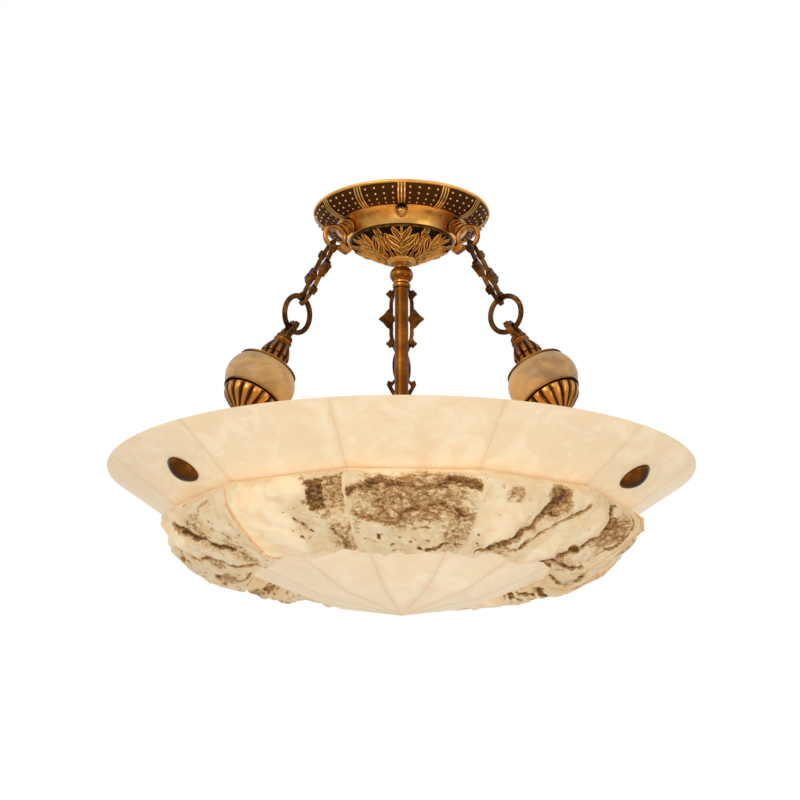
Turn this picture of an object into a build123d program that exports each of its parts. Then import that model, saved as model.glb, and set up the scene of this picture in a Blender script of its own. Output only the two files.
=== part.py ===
from build123d import *
import math
import os

os.makedirs("parts", exist_ok=True)

# Alabaster bowl hung from a cast brass ceiling canopy by three openwork links, with a fixed centre
# stem that carries the lamps. Millimetres, +Z up. The origin is the centre of the ceiling face.
# Azimuth 0 is the front (-Y) and +90 the right side (+X).

# ---- driving sizes ----------------------------------------------------------------------------
suspension_azimuths = {"left": -60, "right": 60, "rear": 180}
lamp_azimuths = {"front": 0, "right": 120, "left": -120}
running_gap = 0.7            # free play between linked bars
sway_gap = 1.0               # free play between ring and bail, which the sway uses up in part
hole_clearance = 0.3         # radial play round rods and screws in plain holes

# ceiling plate
plate_radius = 68.0
plate_thickness = 3.0
mount_slot_spacing = 80.0
mount_slot_radius = 2.6
mount_slot_length = 16.0
lug_tail = 7.0
lug_width = 18.0
cable_hole_radius = 9.0

# canopy pan
pan_radius = 79.5
pan_wall = 1.8
rim_height = 3.2
bead_band_inner_radius = 58.5
bead_band_drop = 12.3
bead_band_bulge = 3.0
cove_inner_radius = 48.0
cove_drop = 12.7
cove_hollow = 1.5
flange_inner_radius = 38.5
rib_groups = 12
rib_width = 1.3
rib_pitch = 2.6
rib_height = 0.9

# leaf dome under the canopy
dome_radius = 46.0
dome_depth = 20.5
dome_wall = 2.2
dome_foot_radius = 12.6
dome_rim_depth = 3.5

# thumb screws, dome screws
thumb_down_cove = 0.28       # share of the cove, from the bead band
thumb_lean = 40.0            # from the vertical
thumb_shank_radius = 2.0
thumb_collar_radius = 5.0
thumb_collar_length = 5.4
thumb_nose_radius = 4.1
thumb_nose_length = 3.2
lug_gap = 3.6                # from the cove's outer face to the lug
dome_screw_radius = 1.5
dome_screw_head = 2.9
dome_screw_circle = 42.2

# hooks
eye_centre_radius = 67.0
eye_centre_drop = 35.5
eye_mean_radius = 9.8
eye_section = 4.0
eye_width = 4.6
boss_radius = 6.6
boss_groove = 1.1
boss_ribs = 4
shank_radius = 3.0
shank_beyond_nut = 2.0
nut_radius = 5.6
nut_height = 4.5
nut_seat_gap = 0.5

# openwork links and rings
chain_angle = 24.6           # from the vertical
link_length = 71.0
link_thickness = 3.8
loop_inner_radius = 4.4
loop_wall = 2.8
rail_offset = 9.6
rail_width = 3.8
small_flower_offset = 10.6
small_flower_size = 4.6
large_flower_offset = 12.8
small_flower_spacing = 0.327    # of the link length, from its middle
rail_shoulder = 0.22            # of the link length, from its middle
large_flower_size = 9.0
flower_thickness = 6.4
ring_mean_radius = 15.75
ring_wire_radius = 2.25
ring_twists = {"left": -24.0, "right": 9.0, "rear": -24.0}    # about the chain, from the radial plane

# finials
finial_angle = 27.6          # from the vertical
bail_bar = 3.8
bail_thickness = 5.0
bail_width = 28.0
bail_opening_width = 18.0
bail_opening_height = 10.5
bail_neck = 4.0
cap_neck_radius = 7.2
cap_base_radius = 15.0
cap_length = 29.5
cap_flutes = 12
flange_radius = 25.5
flange_thickness = 1.2
ball_radius = 30.0
ball_end_radius = 24.4
ball_thickness = 28.0
cup_radius = 23.8
cup_foot_radius = 6.5
cup_length = 21.0
cup_flutes = 16
flute_width = 0.9
flute_depth = 1.2
rod_radius = 4.0
rod_bend_radius = 16.0
rod_in_cap = 12.0
rod_below_cup = 14.0
rod_inside_wall = 26.0

# bowl
panel_count = 12
bowl_turn = 2.7              # seams are turned this far from the suspension planes
rim_radius = 250.0
rim_below_cup = 32.1         # drop from the end of the finial cup to the rim
bowl_wall = 10.0
band_depth = 40.0
band_foot_radius = 186.4     # to the middle of a panel
rock_depth = 42.5
dish_radius = 124.6
dish_depth = 25.0
centre_radius = 66.6
centre_depth = 13.0
rock_bulge = 10.5
rock_lip = 11.0
split_across = 8             # facets across the rough face of a lower panel
split_down = 10              # facets from its upper seam to the dish
split_stray = 0.3            # of a facet, by which the corners stray from even rows
split_lump = 2.4             # height of the broad lumps
split_edge = 0.35            # of the relief that is left at the seams beside the next panels
knob_down_wall = 0.6         # share of the slanted wall, from the rim
knob_shifts = {"left": 12.0, "right": -4.0, "rear": 0.0}        # sideways from a panel's middle
knob_radius = 13.8
knob_height = 8.0
knob_cover = 3.0             # over the end of the rod
washer_radius = 12.0
washer_thickness = 1.6
wall_nut_radius = 7.5
wall_nut_height = 5.5
washer_gap = 0.8             # clears the bow of the panel under the washer

# stem and lamps
nipple_radius = 5.0
nipple_bore = 3.2
lock_nut_radius = 8.5
lock_nut_height = 4.0
knuckle_radius = 10.4
knuckle_height = 18.0
neck_radius = 6.6
collar_radius = 8.0
collar_height = 4.6
stem_radius = 6.0
stem_bore = 4.4
cluster_below_rim = 8.0
cluster_radius = 26.0
cluster_height = 30.0
cluster_wall = 2.0
socket_radius = 13.0
socket_length = 28.0
socket_neck = 8.0
cap_radius = 7.0
cap_depth = 18.0
bulb_radius = 17.5
bulb_length = 66.0
bulb_tip_radius = 2.2
cable_radius = 2.4
terminal_size = (20.0, 12.0, 9.0)
terminal_offset = 27.0


# ---- helpers ----------------------------------------------------------------------------------
def save(name, shape):
    solids = shape.solids()
    if len(solids) == 1:
        shape = solids[0]
    else:
        shape = Compound(children=list(solids))
    export_step(shape, "parts/" + name + ".step")


def at_azimuth(shape, azimuth):
    """Turns a piece that was drawn towards +X to its azimuth."""
    return Rot(0, 0, azimuth - 90) * shape


def slanted_plane(radius, drop, angle):
    """Plane at (radius, -drop) in the XZ plane whose z axis points down and out, angle from vertical."""
    lean = math.radians(angle)
    return Plane(origin=(radius, 0, -drop), x_dir=(math.cos(lean), 0, math.sin(lean)),
                 z_dir=(math.sin(lean), 0, -math.cos(lean)))


def along(radius, z, angle, distance):
    lean = math.radians(angle)
    return radius + distance * math.sin(lean), z - distance * math.cos(lean)


def upright(points):
    return [(r, 0, z) for r, z in points]


def lathe(*edges):
    return revolve(make_face(list(edges)), Axis.Z, 360)


def lathe_points(points):
    return revolve(make_face(Polyline(*upright(points), close=True)), Axis.Z, 360)


def bowed(start, end, rise):
    """Arc from start to end in the XZ plane; rise is its height at the middle, to the left of the way."""
    dx = end[0] - start[0]
    dz = end[1] - start[1]
    length = math.hypot(dx, dz)
    middle = ((start[0] + end[0]) / 2 - dz / length * rise, (start[1] + end[1]) / 2 + dx / length * rise)
    return ThreePointArc(*upright([start, middle, end]))


def straight(*points):
    return Polyline(*upright(points))


def cap_arc(radius, start, end):
    """Quarter outline of a spherical cap on the z axis, from its edge at start to its top at end."""
    height = abs(end - start)
    sphere = (radius ** 2 + height ** 2) / (2 * height)
    half = math.asin(radius / sphere) / 2
    drop = sphere * (1 - math.cos(half))
    middle = (sphere * math.sin(half), end - math.copysign(drop, end - start))
    return ThreePointArc(*upright([(radius, start), middle, (0, end)]))


def rod_between(radius, start, end):
    """Round bar along the local z axis from start to end."""
    return Pos(0, 0, (start + end) / 2) * Cylinder(radius, end - start)


# ---- ceiling plate, canopy pan and leaf dome --------------------------------------------------
bead_top = rim_height
cove_top = bead_top + bead_band_drop
cove_bottom = cove_top + cove_drop
dome_bottom = cove_bottom + dome_depth


def cove_point(share):
    """Radius and drop of a point on the cove's outer face, counted from the bead band down."""
    run = math.hypot(bead_band_inner_radius - cove_inner_radius, cove_drop)
    hollow = 4 * share * (1 - share) * cove_hollow
    radius = bead_band_inner_radius - share * (bead_band_inner_radius - cove_inner_radius)
    drop = cove_top + share * cove_drop
    step_in = bead_band_inner_radius - cove_inner_radius
    return (radius - hollow * cove_drop / run, drop - hollow * step_in / run)


cove_middle = cove_point(0.5)
thumb_root = cove_point(thumb_down_cove)


def pan_section(inset):
    """Outer profile of the pan, moved inwards by inset, from the rim to the foot of the cove."""
    rim = pan_radius - inset
    bead = bead_band_inner_radius - inset * 0.5
    foot = cove_inner_radius - inset * 0.7
    bead_z = -cove_top + inset * 0.9
    foot_z = -cove_bottom + inset
    return (rim, bead, foot, bead_z, foot_z)


def pan_shell():
    rim, bead, foot, bead_z, foot_z = pan_section(0)
    rim_in, bead_in, foot_in, bead_in_z, foot_in_z = pan_section(pan_wall)
    outer_rim = bowed((rim - 1.4, 0), (rim - 1.8, -bead_top), 1.2)
    bead_arc = bowed((rim - 1.8, -bead_top), (bead, bead_z), bead_band_bulge)
    cove_arc = bowed((bead, bead_z), (foot, foot_z), -cove_hollow)
    floor = straight((foot, foot_z), (flange_inner_radius, foot_z), (flange_inner_radius, foot_in_z),
                     (foot_in, foot_in_z))
    cove_in = bowed((foot_in, foot_in_z), (bead_in, bead_in_z), cove_hollow)
    bead_in_arc = bowed((bead_in, bead_in_z), (rim_in - 1.8, -bead_top), -bead_band_bulge)
    lip = straight((rim_in - 1.8, -bead_top), (rim_in - 1.8, 0), (rim - 1.4, 0))
    return lathe(outer_rim, bead_arc, cove_arc, floor, cove_in, bead_in_arc, lip)


def pan_envelope():
    """The solid that fills the pan, used to seat pieces on its outside."""
    rim, bead, foot, bead_z, foot_z = pan_section(0)
    outer_rim = bowed((rim - 1.4, 0), (rim - 1.8, -bead_top), 1.2)
    bead_arc = bowed((rim - 1.8, -bead_top), (bead, bead_z), bead_band_bulge)
    cove_arc = bowed((bead, bead_z), (foot, foot_z), -cove_hollow)
    core = straight((foot, foot_z), (0, foot_z), (0, 0), (rim - 1.4, 0))
    return lathe(outer_rim, bead_arc, cove_arc, core)


def bead_band_ribs():
    """Groups of three ribs that run from the rim to the cove and follow the band's bulge."""
    rim, bead, _, bead_z, _ = pan_section(0)
    outer = bowed((rim - 2.4, -bead_top - 0.9), (bead + 0.4, bead_z - 0.7 * rib_height),
                  bead_band_bulge + 0.6 * rib_height)
    inner = bowed((rim - 2.4, -bead_top + 0.6), (bead + 0.4, bead_z + 0.7), bead_band_bulge - 0.6)
    strip = make_face([outer, Line(outer @ 1, inner @ 1), inner, Line(inner @ 0, outer @ 0)])
    rib = extrude(strip, amount=rib_width / 2, both=True)
    ribs = []
    for group in range(rib_groups):
        for place in (-1, 0, 1):
            spread = math.degrees(place * rib_pitch / ((rim + bead) / 2))
            ribs.append(at_azimuth(rib, group * 360 / rib_groups + spread))
    return ribs


thumb_plane = slanted_plane(thumb_root[0], thumb_root[1], thumb_lean)
hook_out = eye_centre_radius - cove_middle[0]
hook_down = eye_centre_drop - cove_middle[1]
hook_run = math.hypot(hook_out, hook_down)
hook_lean = math.atan2(hook_out, hook_down)
hook_plane = slanted_plane(eye_centre_radius, eye_centre_drop, math.degrees(hook_lean))
cove_lean = math.atan2(cove_drop, bead_band_inner_radius - cove_inner_radius)
nut_seat = nut_seat_gap + nut_radius * math.tan(abs(hook_lean - cove_lean))
nut_low = -hook_run - pan_wall - nut_seat - nut_height

dome_screw_azimuths = (30, 150, -90)
screw_reach = dome_rim_depth - 1.0


def canopy_pan():
    pan = pan_shell() + bead_band_ribs()
    for azimuth in lamp_azimuths.values():
        hole = thumb_plane * rod_between(thumb_shank_radius + hole_clearance, -8, 8)
        pan -= at_azimuth(hole, azimuth)
    for azimuth in suspension_azimuths.values():
        hole = hook_plane * rod_between(shank_radius, nut_low, -hook_run + 2 * pan_wall)
        pan -= at_azimuth(hole, azimuth)
    for azimuth in dome_screw_azimuths:
        hole = Pos(dome_screw_circle, 0, -cove_bottom) * Cylinder(dome_screw_radius, 6)
        pan -= at_azimuth(hole, azimuth)
    return pan


def ceiling_plate():
    plate = Pos(0, 0, -plate_thickness / 2) * Cylinder(plate_radius, plate_thickness)
    plate -= Pos(0, 0, -plate_thickness / 2) * Cylinder(cable_hole_radius, 2 * plate_thickness)
    slot = extrude(SlotOverall(mount_slot_length, 2 * mount_slot_radius), amount=2 * plate_thickness,
                   both=True)
    for side in (-1, 1):
        plate -= Pos(side * mount_slot_spacing / 2, 0, 0) * slot
    lean = math.radians(thumb_lean)
    depth = lug_gap + plate_thickness / 2
    rise = (thumb_root[1] - depth * math.cos(lean) - plate_thickness / 2) / math.sin(lean)
    lug = Pos((rise - lug_tail) / 2, 0, -depth) * Box(rise + lug_tail, lug_width, plate_thickness)
    lug = thumb_plane * lug
    lug -= Pos(0, 0, plate_radius) * Box(4 * plate_radius, 4 * plate_radius, 2 * plate_radius)
    for azimuth in lamp_azimuths.values():
        plate += at_azimuth(lug, azimuth)
        hole = thumb_plane * rod_between(thumb_shank_radius, -3 * lug_gap, 2)
        plate -= at_azimuth(hole, azimuth)
    return plate


def thumb_screw():
    shank = rod_between(thumb_shank_radius, -lug_gap - plate_thickness - 1.5, 1.0)
    collar = rod_between(thumb_collar_radius, -1.5, thumb_collar_length)
    shoulder = thumb_collar_length + thumb_nose_length * 0.4
    tip = thumb_collar_length + thumb_nose_length
    nose = lathe(straight((0, thumb_collar_length - 1), (thumb_nose_radius, thumb_collar_length - 1),
                          (thumb_nose_radius, shoulder)),
                 cap_arc(thumb_nose_radius, shoulder, tip), straight((0, tip), (0, thumb_collar_length - 1)))
    knurl = Pos(thumb_collar_radius, 0, 2) * Box(0.9, 0.9, 3 * thumb_collar_length)
    for turn in range(12):
        collar -= Rot(0, 0, turn * 30) * knurl
    head = thumb_plane * (collar + nose) - pan_envelope() - bead_band_ribs()
    return head + thumb_plane * shank


def leaf_dome():
    """Bowl-shaped casting below the pan, with a flat rim that seats on the pan's flange."""
    top = -cove_bottom
    low = -dome_bottom
    knee = (dome_radius * 0.56, top - dome_depth * 0.72)
    foot = (dome_foot_radius, low + 1.4)
    outer = [bowed((dome_radius, top - 1.0), knee, 1.8), bowed(knee, foot, 0.4),
             bowed(foot, (neck_radius + 1.6, low), 0.9)]
    inner_foot = (dome_foot_radius - 1.0, low + 1.4 + dome_wall)
    inner_knee = (knee[0] - dome_wall * 0.6, knee[1] + dome_wall)
    bottom = straight((neck_radius + 1.6, low), (nipple_radius, low), (nipple_radius, inner_foot[1]),
                      inner_foot)
    inner = [bowed(inner_foot, inner_knee, -0.4),
             bowed(inner_knee, (flange_inner_radius, top - dome_rim_depth), -1.2)]
    rim = straight((flange_inner_radius, top - dome_rim_depth), (flange_inner_radius, top),
                   (dome_radius, top), (dome_radius, top - 1.0))
    dome = lathe(*outer, bottom, *inner, rim)
    for azimuth in dome_screw_azimuths:
        hole = Pos(dome_screw_circle, 0, top - screw_reach / 2) * Cylinder(dome_screw_radius, screw_reach)
        dome -= at_azimuth(hole, azimuth)
    return dome


def dome_screws():
    seat = -cove_bottom + pan_wall
    shank = Pos(dome_screw_circle, 0, 0) * rod_between(dome_screw_radius, -cove_bottom - screw_reach, seat)
    head = Pos(dome_screw_circle, 0, 0) * rod_between(dome_screw_head, seat, seat + 1.8)
    return Compound(children=[at_azimuth(shank + head, azimuth) for azimuth in dome_screw_azimuths])


# ---- hooks ------------------------------------------------------------------------------------
def hook():
    """Ribbed boss on the cove, an eye in the radial plane, a foot curl and a threaded shank."""
    boss_end = -eye_mean_radius
    boss_start = -hook_run - 3
    rib = (boss_end - boss_start) / boss_ribs
    edge = [(0, boss_start)]
    for index in range(boss_ribs):
        start = boss_start + index * rib
        edge += [(boss_radius - boss_groove, start), (boss_radius, start + rib * 0.25),
                 (boss_radius, start + rib * 0.7), (boss_radius - boss_groove, start + rib * 0.95)]
    edge += [(boss_radius - boss_groove, boss_end), (0, boss_end)]
    boss = hook_plane * lathe_points(edge)
    centre = (eye_centre_radius, 0, -eye_centre_drop)
    section = Plane(origin=centre, z_dir=(0, 0, 1)) * (
        Pos(eye_mean_radius, 0, 0) * RectangleRounded(eye_section, eye_width, eye_section * 0.475))
    eye = revolve(section, Axis(centre, (0, 1, 0)), 360)
    eye_hole = Plane(origin=centre, z_dir=(0, 1, 0)) * Cylinder(
        eye_mean_radius - eye_section / 2, 3 * boss_radius)
    foot_plane = Plane(origin=centre, x_dir=(-math.sin(0.72), 0, -math.cos(0.72)), z_dir=(0, 1, 0))
    foot = foot_plane * (Pos(eye_mean_radius + 3.6, 0, 0) * SlotOverall(11.0, 5.0, rotation=25))
    foot = extrude(foot, amount=eye_width * 0.7, both=True)
    body = (boss - eye_hole) + eye + (foot - eye_hole)
    body -= pan_envelope()
    shank = hook_plane * rod_between(shank_radius, nut_low - shank_beyond_nut, -hook_run + 2)
    return body + shank


def hook_nut():
    nut = Pos(0, 0, nut_low) * extrude(RegularPolygon(nut_radius, 6), amount=nut_height)
    nut -= rod_between(shank_radius, nut_low - nut_height, nut_low + 2 * nut_height)
    return hook_plane * nut


# ---- link and ring ----------------------------------------------------------------------------
# Distances along the chain run from the centre of the hook's eye.
link_top = eye_mean_radius - eye_section / 2 - running_gap - loop_wall
link_bottom = link_top + link_length
ring_centre = link_bottom - loop_wall - running_gap - ring_wire_radius + ring_mean_radius
bail_centre = ring_centre + ring_mean_radius - ring_wire_radius - sway_gap - bail_bar / 2
chain_plane = slanted_plane(eye_centre_radius, eye_centre_drop, chain_angle)
strap_plane = Plane(origin=chain_plane.origin, x_dir=chain_plane.z_dir, z_dir=chain_plane.x_dir)


def flower(size):
    """Four pointed petals round a centre: a diamond with notched sides."""
    notch = size * 0.62
    points = []
    for quarter in range(4):
        angle = math.radians(90 * quarter)
        points.append((size * math.cos(angle), size * math.sin(angle)))
        angle = math.radians(90 * quarter + 45)
        points.append((notch * math.cos(angle), notch * math.sin(angle)))
    return make_face(Polyline(*points, close=True))


def rail_line(side):
    """Centre line of one side of the strap: from the upper loop, past the flowers, to the lower."""
    first = link_top + loop_wall / 2
    last = link_bottom - loop_wall / 2
    middle = (link_top + link_bottom) / 2
    shoulder = link_length * rail_shoulder
    loop_centre = loop_inner_radius + loop_wall / 2
    edge = side * loop_centre
    wide = side * rail_offset
    upper = first + loop_centre
    lower = last - loop_centre
    return [(upper, edge), (middle - shoulder, wide), (middle + shoulder, wide), (lower, edge)]


def ribbon(points, width):
    """Flat strip of even width along a polyline, with round corners and ends."""
    shape = None
    for start, end in zip(points, points[1:]):
        length = math.dist(start, end)
        turn = math.degrees(math.atan2(end[1] - start[1], end[0] - start[0]))
        middle = ((start[0] + end[0]) / 2, (start[1] + end[1]) / 2)
        bar = Pos(*middle) * Rot(0, 0, turn) * SlotCenterToCenter(length, width)
        shape = bar if shape is None else shape + bar
    return shape


def link():
    """Strap link drawn flat, local x along the chain and local y across it."""
    middle = (link_top + link_bottom) / 2
    upper_loop = link_top + loop_wall + loop_inner_radius
    lower_loop = link_bottom - loop_wall - loop_inner_radius
    outer = loop_inner_radius + loop_wall
    sheet = Pos(upper_loop, 0) * Circle(outer) + Pos(lower_loop, 0) * Circle(outer)
    for side in (-1, 1):
        sheet += ribbon(rail_line(side), rail_width)
    hollow = Pos(upper_loop, 0) * Circle(loop_inner_radius) + Pos(lower_loop, 0) * Circle(loop_inner_radius)
    inner = rail_offset - rail_width / 2
    shoulder = link_length * rail_shoulder
    hollow += make_face(Polyline((upper_loop, -loop_inner_radius), (middle - shoulder, -inner),
                                 (middle + shoulder, -inner), (lower_loop, -loop_inner_radius),
                                 (lower_loop, loop_inner_radius), (middle + shoulder, inner),
                                 (middle - shoulder, inner), (upper_loop, loop_inner_radius), close=True))
    sheet -= hollow
    strap = extrude(sheet, amount=link_thickness / 2, both=True)
    petals = []
    for side in (-1, 1):
        large = Pos(middle, side * large_flower_offset) * flower(large_flower_size)
        petals.append(large)
        for end in (-1, 1):
            place = middle + end * link_length * small_flower_spacing
            petals.append(Pos(place, side * small_flower_offset) * flower(small_flower_size))
    for petal in petals:
        strap += extrude(petal, amount=flower_thickness / 2, both=True)
    for side in (-1, 1):
        for face in (-1, 1):
            boss = Pos(middle, side * large_flower_offset, face * flower_thickness / 2) * Sphere(1.7)
            strap += boss
    return strap_plane * strap


def ring(twist):
    torus = Rot(90, 0, 0) * Torus(ring_mean_radius, ring_wire_radius)
    return chain_plane * (Pos(0, 0, ring_centre) * (Rot(0, 0, twist) * torus))


# ---- finials ----------------------------------------------------------------------------------
bail_radius, bail_z = along(eye_centre_radius, -eye_centre_drop, chain_angle, bail_centre)
finial_plane = slanted_plane(bail_radius, -bail_z, finial_angle)
# Distances down the finial run from the middle of the bail's top bar.
opening_bottom = bail_bar / 2 + bail_opening_height
cap_start = opening_bottom + bail_neck + 1.9
cap_end = cap_start + cap_length
upper_flange_end = cap_end + flange_thickness
ball_end = upper_flange_end + ball_thickness
lower_flange_end = ball_end + flange_thickness
cup_end = lower_flange_end + cup_length
cup_end_radius, cup_end_z = along(bail_radius, bail_z, finial_angle, cup_end)
rod_bore = rod_radius + hole_clearance


def finial_eye():
    """Arched bail with pointed shoulders over a short round neck."""
    half = bail_opening_width / 2
    outline = Plane.YZ * make_face([
        ThreePointArc((-half, bail_bar), (0, -bail_bar / 2), (half, bail_bar)),
        Polyline((half, bail_bar), (bail_width / 2 - 1.5, bail_bar * 0.45), (bail_width / 2, bail_bar + 2),
                 (half + 2.6, opening_bottom - 2.2), (cap_neck_radius, cap_start),
                 (-cap_neck_radius, cap_start), (-half - 2.6, opening_bottom - 2.2),
                 (-bail_width / 2, bail_bar + 2), (-bail_width / 2 + 1.5, bail_bar * 0.45),
                 (-half, bail_bar))])
    opening = Plane.YZ * make_face([
        ThreePointArc((-half, opening_bottom - 4.5), (0, bail_bar / 2), (half, opening_bottom - 4.5)),
        Line((half, opening_bottom - 4.5), (half - 3.0, opening_bottom)),
        Line((half - 3.0, opening_bottom), (-half + 3.0, opening_bottom)),
        Line((-half + 3.0, opening_bottom), (-half, opening_bottom - 4.5))])
    bail = extrude(outline, amount=bail_thickness / 2, both=True)
    bail -= extrude(opening, amount=bail_thickness, both=True)
    neck = rod_between(cap_neck_radius, cap_start - bail_neck, cap_start)
    return finial_plane * (bail + neck)


def fluted(body, outer_edge, count):
    """Cuts narrow grooves that follow the outer profile, evenly spaced round the axis."""
    points = [(outer_edge @ (step / 8)) for step in range(9)]
    outside = [(point.X + 4, point.Z) for point in points]
    inside = [(point.X - flute_depth, point.Z) for point in points]
    strip = make_face(Polyline(*upright(outside + inside[::-1]), close=True))
    groove = extrude(strip, amount=flute_width / 2, both=True)
    for index in range(count):
        body -= Rot(0, 0, 360 * index / count) * groove
    return body


def finial_cap():
    waist = (cap_base_radius * 0.74, cap_start + cap_length * 0.55)
    shoulder = (cap_neck_radius + 2.6, cap_start + cap_length * 0.16)
    edge = Spline(*upright([(cap_neck_radius, cap_start), shoulder, waist, (cap_base_radius, cap_end)]))
    body = lathe(edge, straight((cap_base_radius, cap_end), (0, cap_end), (0, cap_start),
                                (cap_neck_radius, cap_start)))
    body -= rod_between(rod_radius, cap_end - rod_in_cap, cap_end)
    lower_edge = edge.trim(0.12, 1.0)
    return finial_plane * fluted(body, lower_edge, cap_flutes)


def finial_flanges():
    """Thin spun discs above and below the alabaster ball."""
    upper = rod_between(flange_radius, cap_end, upper_flange_end) - rod_between(rod_bore, 0, cup_end)
    lower = rod_between(flange_radius, ball_end, lower_flange_end) - rod_between(rod_bore, 0, cup_end)
    return Compound(children=[finial_plane * upper, finial_plane * lower])


def alabaster_ball():
    side = ThreePointArc(*upright([(ball_end_radius, upper_flange_end),
                                   (ball_radius, (upper_flange_end + ball_end) / 2),
                                   (ball_end_radius, ball_end)]))
    body = lathe(side, straight((ball_end_radius, ball_end), (rod_bore, ball_end),
                                (rod_bore, upper_flange_end), (ball_end_radius, upper_flange_end)))
    return finial_plane * body


def finial_cup():
    """Gadrooned cup below the ball."""
    edge = Spline(*upright([(cup_radius, lower_flange_end),
                            (cup_radius * 0.95, lower_flange_end + cup_length * 0.3),
                            (cup_radius * 0.46, lower_flange_end + cup_length * 0.78),
                            (cup_foot_radius, cup_end)]))
    body = lathe(edge, straight((cup_foot_radius, cup_end), (rod_bore, cup_end),
                                (rod_bore, lower_flange_end), (cup_radius, lower_flange_end)))
    return finial_plane * fluted(body, edge.trim(0.0, 0.86), cup_flutes)


# ---- bowl -------------------------------------------------------------------------------------
rim_z = cup_end_z - rim_below_cup
half_panel = 180 / panel_count
corner = 1 / math.cos(math.radians(half_panel))
band_foot_z = rim_z - band_depth
rock_foot_z = band_foot_z - rock_depth
dish_foot_z = rock_foot_z - dish_depth
tip_z = dish_foot_z - centre_depth
wall_run = math.hypot(rim_radius - band_foot_radius, band_depth)
wall_in = ((rim_radius - band_foot_radius) / wall_run, band_depth / wall_run)    # along the wall, down to up
wall_normal = (wall_in[1], -wall_in[0])                                          # out of the bowl
rim_inner_radius = rim_radius - bowl_wall / wall_normal[0]
band_foot_inner = band_foot_radius - bowl_wall / wall_normal[0]
panel_azimuths = [index * 360 / panel_count + bowl_turn for index in range(panel_count)]

knob_radius_place = rim_radius - (rim_radius - band_foot_radius) * knob_down_wall
knob_z_place = rim_z - band_depth * knob_down_wall
wall_lean = math.degrees(math.atan2(wall_normal[0], -wall_normal[1]))
knob_plane = slanted_plane(knob_radius_place, -knob_z_place, wall_lean)
# Distances through the wall run outwards from its outer face.
inner_face = -bowl_wall


def sector():
    reach = 2 * rim_radius
    spread = reach * math.tan(math.radians(half_panel))
    corner_points = [(0, 0), (reach, -spread), (reach, spread)]
    face = Plane.XY.offset(tip_z - 50) * make_face(Polyline(*corner_points, close=True))
    return extrude(face, amount=rim_z - tip_z + 100)


panel_sector = sector()


def flat_panel(profile):
    """Straight-sided panel: a profile at the panel's middle drawn sideways to both seams."""
    face = make_face(Polyline(*upright(profile), close=True))
    return extrude(face, amount=rim_radius * 0.5, both=True) & panel_sector


def upper_panel():
    """Flaring panel, from an arc of the round rim to a straight foot."""
    turn = math.radians(half_panel)

    def spot(radius, angle, z):
        return (radius * math.cos(angle), radius * math.sin(angle), z)

    top = [ThreePointArc(spot(rim_radius, -turn, rim_z), spot(rim_radius, 0, rim_z),
                         spot(rim_radius, turn, rim_z)),
           Line(spot(rim_radius, turn, rim_z), spot(rim_inner_radius, turn, rim_z)),
           ThreePointArc(spot(rim_inner_radius, turn, rim_z), spot(rim_inner_radius, 0, rim_z),
                         spot(rim_inner_radius, -turn, rim_z)),
           Line(spot(rim_inner_radius, -turn, rim_z), spot(rim_radius, -turn, rim_z))]
    outer = band_foot_radius * corner
    inner = band_foot_inner * corner
    foot = [Line(spot(outer, -turn, band_foot_z), spot(outer, turn, band_foot_z)),
            Line(spot(outer, turn, band_foot_z), spot(inner, turn, band_foot_z)),
            Line(spot(inner, turn, band_foot_z), spot(inner, -turn, band_foot_z)),
            Line(spot(inner, -turn, band_foot_z), spot(outer, -turn, band_foot_z))]
    return loft([make_face(top), make_face(foot)], ruled=True)


def upper_band():
    panel = upper_panel()
    panels = [at_azimuth(panel, azimuth) for azimuth in panel_azimuths]
    hole = rod_between(rod_bore, -3 * bowl_wall, 2 * bowl_wall)
    for side in suspension_azimuths:
        bore = on_wall(hole, side)
        panels = [item - bore if (item & bore) else item for item in panels]
    return Compound(children=panels)


def on_wall(shape, side):
    """Puts a piece drawn along z, outwards from the wall's face, at the knob's place on its panel."""
    azimuth = suspension_azimuths[side] + bowl_turn
    return at_azimuth(Pos(0, knob_shifts[side], 0) * (knob_plane * shape), azimuth)


dish_run = math.hypot(dish_radius - centre_radius, dish_depth)
dish_normal = (-dish_depth / dish_run, (dish_radius - centre_radius) / dish_run)      # into the bowl
dish_inner = (dish_radius + bowl_wall * dish_normal[0], rock_foot_z + bowl_wall * dish_normal[1])
centre_inner = (centre_radius + bowl_wall * dish_normal[0], dish_foot_z + bowl_wall * dish_normal[1])


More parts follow.
